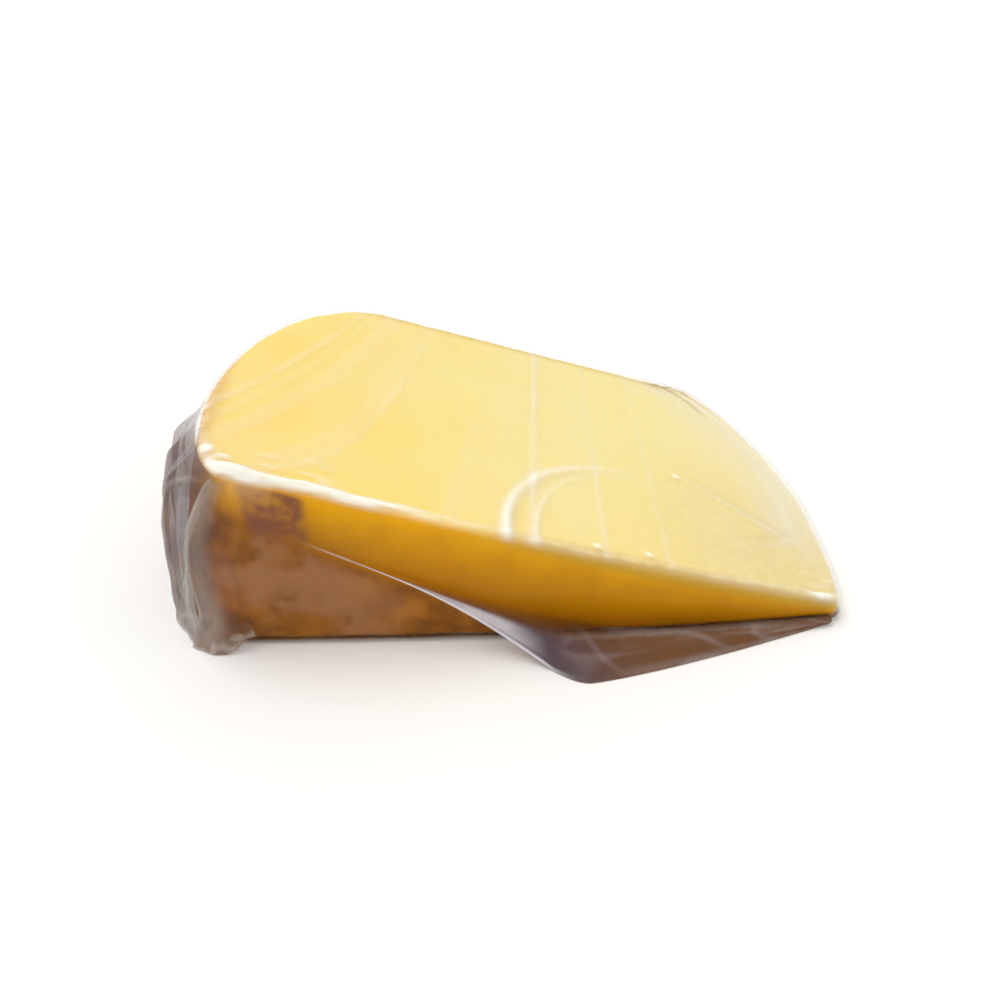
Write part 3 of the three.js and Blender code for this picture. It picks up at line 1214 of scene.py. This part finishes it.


@dataclass(frozen=True)
class FilmSleeve:
    """The film drawn tight round the wedge and open at the rim.

    It has stretch lines, a rolled near edge, an air pocket and crumpled corners. Lengths are in
    millimetres, and ramps run along X from the wedge's origin unless they say otherwise.
    """

    wedge: Wedge
    outline_points: int = 760
    caps: int = 110
    walls: int = 36
    stand_off: float = 0.35
    open_x: float = -57.5  # beyond this the rim side is left to the gathered film
    near_open_x: float = -64.5  # the same on the near side
    lip: float = 4.0  # how far the sleeve reaches down past the open edge
    lines: tuple[Flat, ...] = (  # the X at which each stretch line meets the far side, and its height
        (-39.5, 0.09),
        (-36.5, 0.05),
        (-21.0, 0.07),
        (6.7, 0.16),
        (19.7, 0.09),
        (33.0, 0.06),
    )
    pocket_centre: Flat = (25.0, 0.0)
    pocket_outer: Flat = (34.0, 37.5)
    pocket_inner: Flat = (26.0, 33.5)
    folds: tuple[FaceFold, ...] = (
        FaceFold((36.0, 44.0), (64.0, 20.0), 1.0),
        FaceFold((46.0, 14.0), (67.0, 24.0), 0.5),
    )
    sparkles: tuple[Flat, ...] = ((12.0, 1.5), (23.6, 2.3), (37.6, 40.0))  # dimples with painted glints
    heights: SleeveHeights = SleeveHeights()
    whiteness: SleeveMilkAndHighlight = SleeveMilkAndHighlight()
    upper: Ramp = Ramp(0.55, 0.95)  # by level
    near_side: Ramp = Ramp(2.0, 0.0)  # by Y
    roll_growth: Ramp = Ramp(0.0, -45.0)
    most_white: float = 0.96
    least_height: float = 0.05
    noise: Noise = field(default_factory=lambda: Noise(23))

    def stretch_place(self, x: Array, y: Array) -> Array:
        """Where the stretch line through a point meets the far side. The lines fan out.

        Args:
            x: X of each point of the upper face.
            y: Y of each point.

        Returns:
            X at which its line ends.
        """
        far = x
        for _ in range(3):
            lean = 0.05 + 0.31 * np.clip((33 - far) / 72.5, 0, 1.2) ** 2
            far = x + lean * (self.wedge.size.depth - y)
        return far

    def pull(self, x: Array, y: Array) -> Array:
        """Points at which noise comes out as streaks along the stretch lines."""
        return points_of(self.stretch_place(x, y), 0.02 * y)

    def tip_folds(self, x: Array, y: Array) -> Array:
        """Soft ridges along straight lines on the upper face."""
        return sum(fold(x, y) for fold in self.folds)

    def outside_pocket(self, x: Array, y: Array, radii: Flat) -> Array:
        """Signed distance, in millimetres, outside an ellipse about the air pocket's centre."""
        away = np.hypot((x - self.pocket_centre[0]) / radii[0], (y - self.pocket_centre[1]) / radii[1])
        return (away - 1) * radii[0]

    def from_face_edge(self, skin: Skin) -> Array:
        """How far each point lies in plan from where the upper face's edge starts to round.

        Args:
            skin: The smooth skin.

        Returns:
            The distances, in millimetres.
        """
        edge = skin.points[np.argmax(skin.level[:, 0] >= 1.0)][None]
        return np.hypot(*(skin.points - edge)[..., :2].transpose(2, 0, 1))

    def find_stretch(self, skin: Skin) -> Array:
        """The strongest stretch lines, by height.

        Args:
            skin: The smooth skin.

        Returns:
            Their height at each point.
        """
        x, y, _ = skin.axes
        place = self.stretch_place(x, y)
        lines = np.zeros_like(x)
        for where, height in self.lines:
            strength = height * (0.6 + 0.4 * self.noise(points_of(x, y) + where, 14))
            lines = lines + strength * Ridge(where, 0.8)(place)
        return lines

    def find_pocket(self, skin: Skin) -> dict[str, Array]:
        """The air pocket: a raised rim that is highest at its rim-side end, and a slight rise inside.

        Args:
            skin: The smooth skin.

        Returns:
            The features by name.
        """
        x, y, _ = skin.axes
        outer = self.outside_pocket(x, y, self.pocket_outer)
        inner = self.outside_pocket(x, y, self.pocket_inner)
        rims = 0.5 * Ridge(-1.4, 1.3)(outer) + 0.22 * Ridge(0.0, 0.8)(inner)
        ring = Ramp(32.0, -2.0)(x) * rims * (1 + 0.7 * Ramp(22.0, 3.0)(y))
        return {"ring": ring, "pocket": 0.25 * Ramp(1.0, -4.0)(outer)}

    def find_near_edge(self, skin: Skin, wobble: Array) -> dict[str, Array]:
        """Film rolled up along the near edge, thickest at the rim, and bunched at the corner.

        Args:
            skin: The smooth skin.
            wobble: An unevenness in millimetres.

        Returns:
            The features by name.
        """
        x, y, _ = skin.axes
        from_near = y - self.wedge.near(x)
        share = self.roll_growth(x)
        roll = (0.3 + 0.7 * share) * Ridge(1.2, 0.8 + 0.5 * share)(from_near + wobble * 0.5)
        torn = Ramp(-0.3, 0.5)(self.noise(points_of(x, y), (4.0, 1.8, 1)))
        puff = Ramp(-38.0, -56.0)(x) * Ramp(12.0, 3.0)(y + 1.5 * wobble) * torn
        return {"from_near": from_near, "roll_share": share, "roll": roll, "puff": puff}

    def find_corners(self, skin: Skin) -> dict[str, Array]:
        """Crumpled patches at the far corner and the tip, wrinkles, and film bridging along the tip.

        Args:
            skin: The smooth skin.

        Returns:
            The features by name.
        """
        x, y, _ = skin.axes
        flat, noise, depth = points_of(x, y), self.noise, self.wedge.size.depth
        far_crumple = Ridge(47.0, 11.0)(x) * Ramp(depth - 13, depth - 3)(y)
        tip_crumple = Ramp(52.0, 66.0)(x) * Ramp(20.0, 4.0)(y)
        crumple = far_crumple * zigzag(0.16 * x + 0.23 * y + 0.4 * noise(flat, 4))
        crumple = crumple + tip_crumple * zigzag(0.11 * x - 0.2 * y + 0.4 * noise(flat, 5))
        from_edge = self.from_face_edge(skin)
        streaks = 0.7 + 0.3 * noise(points_of(from_edge, 0.12 * y), 3.2)
        bridging = Ramp(22.0, 1.0)(from_edge) * Ramp(8.0, 30.0)(y) * Ramp(22.0, 46.0)(x)
        far_corner = Ridge(47.0, 8.0)(x) * Ramp(76.0, 84.0)(y)
        outer_line = Ridge(2.2, 0.6)(from_edge + 0.12 * (x - 47.0))
        inner_line = Ridge(4.6, 0.5)(from_edge - 0.2 * (x - 47.0))
        return {
            "crumple": crumple,
            "tip_crumple": tip_crumple,
            "bridging": bridging * streaks,
            "wrinkles": far_corner * (outer_line + 0.8 * inner_line),
        }

    def find_sides(self, skin: Skin) -> dict[str, Array]:
        """Long slanting creases down the far side, the tip and the rim.

        Args:
            skin: The smooth skin.

        Returns:
            The features by name.
        """
        x, y, z = skin.axes
        slant = zigzag(0.045 * x - 0.05 * y + 0.06 * z + 0.5 * self.noise(skin.points + 70, 16))
        hidden = Ramp(12.0, 30.0)(y) * Ramp(0.62, 0.4)(np.abs(skin.level))
        return {"hidden": hidden, "slant": slant}

    def features(self, skin: Skin) -> SleeveFeatures:
        """Everything that shows in the film.

        Args:
            skin: The smooth skin.

        Returns:
            The features at each point.
        """
        x, y, _ = skin.axes
        flat = points_of(x, y)
        wobble = 1.2 * self.noise(flat, 9) + 0.6 * self.noise(flat + 5, 3)
        sparkle = sum(Ridge(0.0, 0.8)(np.hypot(x - at_x, y - at_y)) for at_x, at_y in self.sparkles)
        tip_glint = np.hypot((x - self.wedge.size.tip_x + 3.0) / 3, y - 1.2)
        return SleeveFeatures(
            upper=self.upper(skin.level),
            stretch=self.find_stretch(skin),
            tip_fold=self.tip_folds(x + wobble, y - wobble),
            sparkle=sparkle + Ridge(0.0, 0.9)(tip_glint),
            **self.find_pocket(skin),
            **self.find_near_edge(skin, wobble),
            **self.find_corners(skin),
            **self.find_sides(skin),
        )

    def lift(self, skin: Skin, f: SleeveFeatures) -> Array:
        """How far the film stands off its smooth skin.

        Args:
            skin: The smooth skin.
            f: The film's features.

        Returns:
            The distance at each point, in millimetres.
        """
        x, y, _ = skin.axes
        across, tip_x, high = self.pull(x, y), self.wedge.size.tip_x, self.heights
        lines = high.fine_lines * self.noise(across, 1.6) + high.broad_lines * self.noise(across + 7, 5.0)
        lines = lines + high.stretch * f.stretch
        lift = f.upper * (lines + f.ring + f.pocket + high.roll * f.roll + high.puff * f.puff)
        lift = lift + f.upper * (high.crumple * (f.crumple + 0.4) + high.sparkle * f.sparkle)
        lift = lift + f.upper * (high.tip_fold * f.tip_fold + high.wrinkles * f.wrinkles)
        lift = lift + (1 - f.upper) * high.sides * (1 + self.noise(skin.points, (16, 16, 5)))
        lift = lift + high.side_creases * f.hidden * Ramp(0.5, 1.0)(f.slant)
        # At the tip the film bridges down to the table without touching the paste.
        bridge = Ramp(tip_x - 4, tip_x + 4)(x) * Ridge(0.2, 0.7)(skin.level)
        return np.maximum(lift + high.bridge * bridge, 0.0)

    def milk_and_highlight(self, skin: Skin, f: SleeveFeatures) -> Array:
        """Where the film is creased enough to turn milky, and its painted highlights and glints.

        Args:
            skin: The smooth skin.
            f: The film's features.

        Returns:
            The share at each point.
        """
        x, y, _ = skin.axes
        across, white = self.pull(x, y), self.whiteness
        streaks = 0.75 + 0.5 * self.noise(points_of(x, 6 * f.from_near), 4.0)
        # Painted highlight along the rolled near edge, and painted glints at the sparkles.
        roll = f.roll * (white.roll_base + white.roll_gain * f.roll_share) * streaks
        face = white.roll * roll + white.puff * f.puff + white.ring * f.ring + white.stretch * f.stretch
        face = face + white.pocket * f.pocket + white.sparkle * f.sparkle
        face = face + white.tip_crumple * f.tip_crumple * Ramp(0.1, 0.8)(f.crumple)
        face = face + white.tip_fold * f.tip_fold + white.bridging * f.bridging
        faint = Ramp(10.0, -20.0)(x) * Ramp(0.0, 0.7)(self.noise(across + 50, 4.5))
        face = face + white.faint_lines * faint + white.tip * Ramp(30.0, self.wedge.size.tip_x + 4)(x)
        face = face + white.everywhere * (1 + self.noise(across + 20, 7.0))
        # Painted highlight along the rim's edge.
        rim_edge = Ramp(-52.0, -60.0)(x) * Ridge(0.72, 0.2)(skin.level) * Ramp(70.0, 30.0)(y)
        near_edge = self.near_side(y) * Ridge(0.8, 0.16)(skin.level) * Ramp(-18.0, 12.0)(x)
        side_crease = f.hidden * (Ramp(0.9, 1.0)(f.slant) + 0.5 * Ramp(0.94, 1.0)(-f.slant))
        milk_and_highlight = f.upper * face + white.rim_edge * rim_edge * streaks
        milk_and_highlight = milk_and_highlight + white.near_edge * near_edge + white.side_creases * side_crease
        return np.clip(milk_and_highlight, 0, self.most_white) * (1 - white.shaded_wrinkles * f.wrinkles)

    def shade_behind(self, skin: Skin, f: SleeveFeatures) -> Array:
        """Painted shade under the film: the lower near side, the folded foot and the far wrinkles.

        Args:
            skin: The smooth skin.
            f: The film's features.

        Returns:
            The share at each point.
        """
        x, y, z = skin.axes
        low = self.near_side(y) * Ramp(0.5, 0.3)(skin.level) * Ramp(-26.0, -50.0)(x) * Ramp(42.0, 26.0)(z)
        foot = Ramp(5.0, 1.0)(y) * Ramp(-0.52, -0.7)(skin.level)
        face = 0.85 * f.wrinkles + 0.07 * self.tip_folds(x, y - 2.0)
        return 0.16 * low + 0.75 * foot + f.upper * face

    def open_faces(self, skin: Skin, moved: Array) -> list[Face]:
        """The skin's faces without those of the open rim.

        Args:
            skin: The smooth skin.
            moved: Its points with their relief.

        Returns:
            The corners of each face.
        """
        x, y, z = skin.axes
        below_top = self.wedge.top(x) + self.stand_off - z
        end = np.where(y < 1.5, self.near_open_x, self.open_x) + 0.8 * self.noise(moved + 60, 4)
        is_open = ((x < end) & (below_top > self.lip)).ravel()
        return [face for face in skin.faces() if len(face) > 4 or not is_open[list(face)].all()]

    def build(self) -> bpy.types.Object:
        """Makes the mesh and dresses it.

        Returns:
            The new object.
        """
        skin = self.wedge.skin(self.outline_points, self.stand_off, self.caps, self.walls)
        features = self.features(skin)
        moved = skin.raised(self.lift(skin, features), self.least_height)
        masks = {
            "milk_and_highlight": self.milk_and_highlight(skin, features),
            "shade_behind": self.shade_behind(skin, features),
            "cool": np.zeros_like(skin.level),
        }
        faces, finish = self.open_faces(skin, moved), FilmFinish().build("film")
        place = self.wedge.place(moved)
        return make_piece("film_sleeve_sheet", place, faces, masks, finish, Node.SLEEVE)


@dataclass(frozen=True)
class Sheet:
    """An open sheet as a grid of points, with where each lies across it and down it, from 0 to 1."""

    points: Array
    across: Array
    down: Array

    def piece(
        self, name: str, wedge: Wedge, masks: dict[str, Array], finish: bpy.types.Material, stands_for: Node
    ) -> bpy.types.Object:
        """Makes the sheet's piece.

        Args:
            name: The piece's name.
            wedge: The wedge, which places it.
            masks: A number for each point, by attribute name.
            finish: Its material.
            stands_for: The CAD node that it replaces.

        Returns:
            The new object.
        """
        faces = grid_faces(*self.down.shape)
        return make_piece(name, wedge.place(self.points), faces, masks, finish, stands_for)


@dataclass(frozen=True)
class FilmGather:
    """The film bunched round the rim: a pleated skirt down to the table, and a fold at the near corner.

    Lengths are in millimetres.
    """

    wedge: Wedge
    columns: int = 420
    rows: int = 110
    fold_columns: int = 105
    path_steps: int = 1200  # points of the outline from which the rim's are taken
    reach: float = 4.2  # how far the skirt stands out
    pleats: float = 9.0
    stand_off: float = 0.5
    overlap: float = 4.0  # how far the skirt starts before the rim
    tuck: float = 1.0  # how far its top lies below the upper face
    far_drop: float = 0.55  # how much lower it starts at the far end, as a share
    least_height: float = 0.15
    fold_left: tuple[Point, ...] = (
        (-65.8, 1.5, 43.0),
        (-68.6, 2.0, 40.0),
        (-74.0, 2.0, 29.5),
        (-75.0, 1.6, 20.0),
        (-73.9, 0.2, 8.0),
        (-76.5, -1.0, 0.2),
    )
    fold_right: tuple[Point, ...] = (
        (-61.5, -0.9, 42.6),
        (-63.0, -1.0, 39.0),
        (-65.6, -1.0, 28.0),
        (-65.0, -1.0, 18.0),
        (-63.2, -1.2, 7.0),
        (-62.2, -2.0, 0.2),
    )
    fold_softening: int = 10  # rounds of smoothing along the fold's sides
    fold_bulge: float = 2.2
    torn_height: float = 3.5  # of its ragged foot
    skirt_start: Ramp = Ramp(0.03, 0.13)  # by place along the rim
    knot: Ramp = Ramp(0.8, 0.95)  # by place down the fold
    dark_knot: Ramp = Ramp(0.78, 0.92)

    def rim_path(self) -> Array:
        """Points of the rim's outline, from the near side where the sleeve ends to the far side.

        Returns:
            The evenly spaced points.
        """
        rim_x = self.wedge.size.rim_x
        outline = self.wedge.outline(self.path_steps)
        rim = outline[outline[:, 0] < rim_x]
        rim = rim[np.argsort(rim[:, 1])]
        start = np.array([[rim_x + self.overlap, 0.0], [rim_x, 0.0]])
        return resample(np.concatenate([start, rim]), self.columns)

    def skirt(self) -> tuple[Sheet, Array]:
        """Shapes the pleated skirt.

        Returns:
            The skirt, and how sharply each of its points is creased.
        """
        # t runs along the rim, from the near side, and h from the upper edge down to the table.
        path = self.rim_path()
        t = np.linspace(0, 1, self.columns)[None, :]
        h = np.linspace(0, 1, self.rows)[:, None]
        tangent = np.gradient(path, axis=0)
        tangent /= np.linalg.norm(tangent, axis=1, keepdims=True)
        away = np.stack([-tangent[:, 1], tangent[:, 0]], 1)
        noise = Noise(41)
        cloth = points_of(75 * t, 45 * h)
        pleat = zigzag(self.pleats * t + 0.45 * noise(cloth, (14, 30, 9)) + 0.25 * h)
        crease = zigzag(1.3 * h - 2.1 * t + 0.5 * noise(cloth + 9, 16))
        swell = np.sin(np.pi * (0.03 + 0.97 * t) ** 0.75) ** 0.8
        sag = (0.6 + 0.4 * np.sin(0.8 * np.pi * (1 - h))) * Ramp(-0.02, 0.16)(h)
        foot = 1 + 0.3 * Ramp(0.9, 1.0)(h)
        folds = 0.9 * pleat + 0.35 * crease + 0.5 * noise(cloth + 3, 5)
        out = self.stand_off + self.reach * swell * sag * foot + swell * sag * folds
        head = (self.wedge.top(path[:, 0])[None, :] - self.tuck) * (1 - self.far_drop * Ramp(0.4, 1.0)(t))
        height = self.least_height + (head - self.least_height) * (1 - h)
        plan = path[None] + away[None] * np.maximum(out, self.stand_off)[..., None]
        points = self.wedge.follow_arc(np.concatenate([plan, height[..., None]], -1))
        sharp = Ramp(0.7, 1.0)(pleat) + 0.5 * Ramp(0.8, 1.0)(crease)
        return Sheet(points, t + 0 * h, h + 0 * t), np.clip(sharp * sag, 0, 1)

    def fold_side(self, knots: tuple[Point, ...]) -> Array:
        """One side of the fold as a soft line, from its top to its foot.

        Args:
            knots: Points that it passes near, evenly spaced down the fold.

        Returns:
            Its points, as one column of a grid.
        """
        places = np.linspace(0, 1, len(knots))
        wanted = np.linspace(0, 1, self.rows)
        line = np.stack([np.interp(wanted, places, axis) for axis in zip(*knots)], 1)
        for _ in range(self.fold_softening):
            line[1:-1] = (line[:-2] + 2 * line[1:-1] + line[2:]) / 4
        return line[:, None, :]

    def fold(self) -> Sheet:
        """Shapes the loose fold at the near corner, with its crumpled, ragged foot.

        Returns:
            The fold.
        """
        share = np.linspace(0, 1, self.fold_columns)[None, :, None]
        points = self.fold_side(self.fold_left) * (1 - share) + self.fold_side(self.fold_right) * share
        across = np.broadcast_to(share[..., 0], points.shape[:2])
        down = np.broadcast_to(np.linspace(0, 1, self.rows)[:, None], points.shape[:2])
        cloth = points_of(10 * across, 45 * down)
        ripple = 0.35 * Noise(47)(cloth, (2.5, 14, 9)) + 0.3 * Noise(48)(cloth, 5)
        ripple = ripple + 0.6 * self.knot(down) * Noise(49)(cloth, (1.8, 2.6, 9))
        bulge = self.fold_bulge * Ramp(0.0, 0.2)(down) + ripple
        points[..., 1] -= np.sin(np.pi * across) * bulge
        torn = self.torn_height * Ramp(0.55, 1.0)(across + 0.25 * ripple) * Ramp(0.75, 1.0)(down)
        points[..., 2] = np.maximum(points[..., 2] + 0.2 * ripple + torn, self.least_height)
        return Sheet(points, across, down)

    def build(self) -> tuple[bpy.types.Object, bpy.types.Object]:
        """Makes both sheets and dresses them.

        Returns:
            The skirt and the fold.
        """
        finish = FilmFinish().build("film_bunched")
        skirt, crease = self.skirt()
        t, h, start = skirt.across, skirt.down, self.skirt_start(skirt.across)
        tight = 1 - Ramp(0.25, 0.6)(t) * Ramp(0.5, 0.0)(h)
        # Painted shade in the skirt stands for the dark pocket behind it.
        masks = {
            "milk_and_highlight": (0.02 + 0.35 * crease * Ramp(0.5, 0.1)(t) + 0.3 * Ramp(0.93, 1.0)(h)) * start,
            "shade_behind": (0.66 - 0.12 * crease) * start * Ramp(1.05, 0.7)(t) * tight,
            "cool": 0.75 - 0.5 * Ramp(0.3, 0.7)(Noise(43)(skirt.points, 6)),
        }
        skirt_piece = skirt.piece("film_gather_sheet", self.wedge, masks, finish, Node.GATHER)
        fold = self.fold()
        across, down, knot = fold.across, fold.down, self.dark_knot(fold.down)
        # Painted highlight along the fold's edges; painted shade over the knot and the fold's outer side.
        hem = 0.4 * Ramp(0.8, 0.2)(across) * Ramp(0.0, 0.12)(down) + 0.4 * Ramp(0.12, 0.0)(across)
        crumpled = 0.22 * knot * Ramp(0.0, 0.6)(Noise(44)(fold.points, 2.0))
        masks = {
            "milk_and_highlight": hem * (1 - 0.75 * knot) + crumpled,
            "shade_behind": 0.3 * Ramp(0.85, 0.35)(across) + 0.6 * knot,
            "cool": 0.1 + 0.35 * down,
        }
        return skirt_piece, fold.piece("film_corner_fold", self.wedge, masks, finish, Node.GATHER)


@dataclass(frozen=True)
class FilmFlap:
    """The loose flap: it leaves the near side along a slanting line and stands on the table.

    Lengths are in millimetres.
    """

    wedge: Wedge
    columns: int = 380
    rows: int = 60
    start: float = -50.6  # X of its first corner
    lands: float = 2.0  # X at which its free edge comes down to the table
    free: float = 0.42  # the share of its length with a free edge
    top: float = 28.5
    foot: float = 2.4  # height of its lowest fastening
    top_curve: float = 1.5
    reach: float = 14.0  # how far it stands out at most
    nose: float = 4.0  # how much of that comes after it lands
    nose_at: float = 0.12  # and where, as a share of the landed edge
    out_curve: float = 3.4
    drop_curve: float = 3.6
    taper_curve: float = 1.2
    meets: float = 24.0  # X at which its upper line reaches the table
    stand_off: float = 0.75
    before_tip: float = 0.5
    least_height: float = 0.1
    rest_height: float = 0.15  # of the edge that lies on the table
    most_white: float = 0.95
    noise: Noise = field(default_factory=lambda: Noise(53))

    @property
    def end(self) -> float:
        """X of its last corner."""
        return self.wedge.size.tip_x - self.before_tip

    def upper(self, t: Array) -> Array:
        """The line along which the flap leaves the near side.

        Args:
            t: Places along the flap, from 0 to 1.

        Returns:
            The line's points.
        """
        x = self.start + (self.end - self.start) * t
        fall = np.clip(1 - (x - self.start) / (self.meets - self.start), 0, 1)
        height = self.foot + (self.top - 2.0) * fall**self.top_curve
        return points_of(x, self.wedge.near(x) - self.stand_off, height)

    def lower(self, t: Array) -> Array:
        """The free edge down to the table, and then the edge that lies on it.

        Args:
            t: Places along the flap, from 0 to 1.

        Returns:
            The edge's points.
        """
        is_free = t < self.free
        q = np.clip(t / self.free, 0, 1)
        w = np.clip((t - self.free) / (1 - self.free), 0, 1)
        landed = self.reach - self.nose
        rising = landed + self.nose * np.sin(np.clip(w / self.nose_at, 0, 1) * QUARTER_TURN)
        taper = np.clip((w - self.nose_at) / (1 - self.nose_at), 0, 1) ** self.taper_curve
        resting = np.where(w < self.nose_at, rising, self.reach * (1 - taper)) + 0.3
        free_x = self.start + (self.lands - self.start) * q
        x = np.where(is_free, free_x, self.lands + (self.end - self.lands) * w)
        out = np.where(is_free, 0.2 + landed * q**self.out_curve, resting)
        drop = (self.upper(t)[..., 2] - 0.8) * (1 - q**self.drop_curve)
        height = np.where(is_free, drop, 0.0) + self.rest_height
        return points_of(x, self.wedge.near(x) - self.stand_off - out, height)

    def build(self) -> bpy.types.Object:
        """Makes the mesh and dresses it.

        Returns:
            The new object.
        """
        # t runs along the flap, towards the tip, and s from its upper line down to its edge.
        t = np.linspace(0, 1, self.columns)[None, :]
        s = np.linspace(0, 1, self.rows)[:, None]
        upper, lower = self.upper(t[0]), self.lower(t[0])
        points = upper[None] * (1 - s[..., None]) + lower[None] * s[..., None]
        fall = lower - upper
        outward = points_of(0 * t[0], fall[:, 2], -fall[:, 1])
        outward /= np.maximum(np.linalg.norm(outward, axis=1, keepdims=True), TINY)
        cloth = points_of(110 * t, 22 * s)
        ridge = zigzag(3.2 * t - 0.55 * s + 0.3 * self.noise(cloth, 16))
        slack = np.sin(np.pi * s)
        ripple = 0.8 * ridge * Ramp(0.3, 0.6)(t) + 0.5 * self.noise(cloth + 5, 8)
        points = points + outward[None] * (slack * (1.6 * np.sin(np.pi * t) + ripple))[..., None]
        points[..., 2] = np.maximum(points[..., 2], self.least_height)
        sheet = Sheet(points, t + 0 * s, s + 0 * t)

        from_hem = (1 - s) * np.linalg.norm(fall, axis=1)[None]
        is_free = Ramp(self.free + 0.05, self.free - 0.04)(t)
        # Painted highlights along the free edge and in a bluish streak, with lighter creases and folds.
        hem = is_free * Ramp(1.3, 0.6)(from_hem) * Ramp(0.0, 0.14)(t)
        streak = Ramp(0.1, 0.26)(t) * Ramp(0.43, 0.33)(t) * Ramp(0.25, 0.5)(s) * Ramp(0.95, 0.75)(s)
        crease = 0.1 * Ramp(0.7, 1.0)(np.abs(ridge)) * Ramp(0.4, 0.6)(t) * slack
        edge = 0.08 * Ramp(0.8, 0.93)(s) * Ramp(0.5, 0.62)(t)
        folds = 0.08 * Ramp(0.1, 0.6)(self.noise(cloth + 30, (12, 4, 1))) * Ramp(0.3, 0.45)(t)
        # Painted shade stands for the dark table and cheese behind the flap.
        masks = {
            "milk_and_highlight": np.clip(0.85 * hem + 0.7 * streak + crease + folds + edge, 0, self.most_white),
            "shade_behind": 0.94 * Ramp(0.05, 0.36)(t) * Ramp(-0.25 * t, 0.45)(s),
            "cool": Ramp(0.62, 0.38)(t) * Ramp(0.1, 0.5)(s),
        }
        finish = FilmFinish(milk_and_highlight="EAE5EC", shade_behind="6E4A2E", grazing=0.25).build("film_loose")
        return sheet.piece("film_flap_sheet", self.wedge, masks, finish, Node.FLAP)


# Studio.


@dataclass(frozen=True)
class Studio:
    """Pale floor, soft light and the camera."""

    azimuth: float = 3.28  # degrees, turned towards the tip
    elevation: float = 33.86
    distance: float = 262.3  # in the wedge's millimetres, as is aim
    aim: Point = (-5.98, 48.34, 3.5)
    lens: float = 36.0
    sensor: float = 36.0
    nearest: float = 0.01  # metres, before which the camera sees nothing
    sky_colour: str = "FFFFFF"
    sky: float = 0.75
    sun_power: float = 1.3
    sun_softness: float = 50.0  # degrees
    sun_from: Point = (-0.45, 0.1, 1.0)
    floor_size: float = 16.0  # metres

    def add_object(self, name: str, data: bpy.types.ID) -> bpy.types.Object:
        """Adds an object of the studio to the scene.

        Args:
            name: Its name.
            data: Its mesh, light or camera.

        Returns:
            The new object.
        """
        item = bpy.data.objects.new(name, data)
        bpy.context.scene.collection.objects.link(item)
        return item

    def add_floor(self) -> None:
        """Adds the floor, level with the table's top."""
        half = self.floor_size / 2
        corners = [(-half, -half, 0), (half, -half, 0), (half, half, 0), (-half, half, 0)]
        mesh = bpy.data.meshes.new("floor")
        mesh.from_pydata(corners, [], [(0, 1, 2, 3)])
        mesh.materials.append(FloorFinish().build())
        self.add_object("floor", mesh)

    def add_light(self) -> None:
        """Adds an even white sky and a soft sun from above the rim."""
        world = bpy.data.worlds.new("studio")
        world.use_nodes = True
        background = world.node_tree.nodes["Background"].inputs
        background["Color"].default_value = linear(self.sky_colour)
        background["Strength"].default_value = self.sky
        bpy.context.scene.world = world
        light = bpy.data.lights.new("sun", "SUN")
        light.energy = self.sun_power
        light.angle = math.radians(self.sun_softness)
        sun = self.add_object("sun", light)
        sun.rotation_euler = (-Vector(self.sun_from)).to_track_quat("-Z", "Y").to_euler()

    def add_camera(self, wedge: Wedge) -> None:
        """Adds the camera, aimed at the wedge.

        Args:
            wedge: The wedge.
        """
        azimuth, elevation = math.radians(self.azimuth), math.radians(self.elevation)
        level = math.cos(elevation)
        ahead = Vector((math.sin(azimuth) * level, math.cos(azimuth) * level, -math.sin(elevation)))
        data = bpy.data.cameras.new("camera")
        data.lens = self.lens
        data.sensor_width = self.sensor
        data.clip_start = self.nearest
        camera = self.add_object("camera", data)
        camera.location = Vector(wedge.place(np.array(self.aim))) - ahead * self.distance * wedge.scale
        camera.rotation_euler = ahead.to_track_quat("-Z", "Y").to_euler()
        bpy.context.scene.camera = camera

    def build(self, wedge: Wedge) -> None:
        """Makes the floor, the world, the light and the camera.

        Args:
            wedge: The wedge, at which the camera looks.
        """
        bpy.context.scene.view_settings.view_transform = "Standard"
        self.add_floor()
        self.add_light()
        self.add_camera(wedge)


def main() -> None:
    """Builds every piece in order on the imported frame."""
    logging.basicConfig(level=logging.INFO, format="%(name)s: %(message)s")
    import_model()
    wedge = Wedge.from_box(*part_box(Node.CHEESE.value))
    CheeseBody(wedge).build()
    sleeve = FilmSleeve(wedge).build()
    skirt, fold = FilmGather(wedge).build()
    flap = FilmFlap(wedge).build()
    Studio().build(wedge)


if __name__ == "__main__":
    main()
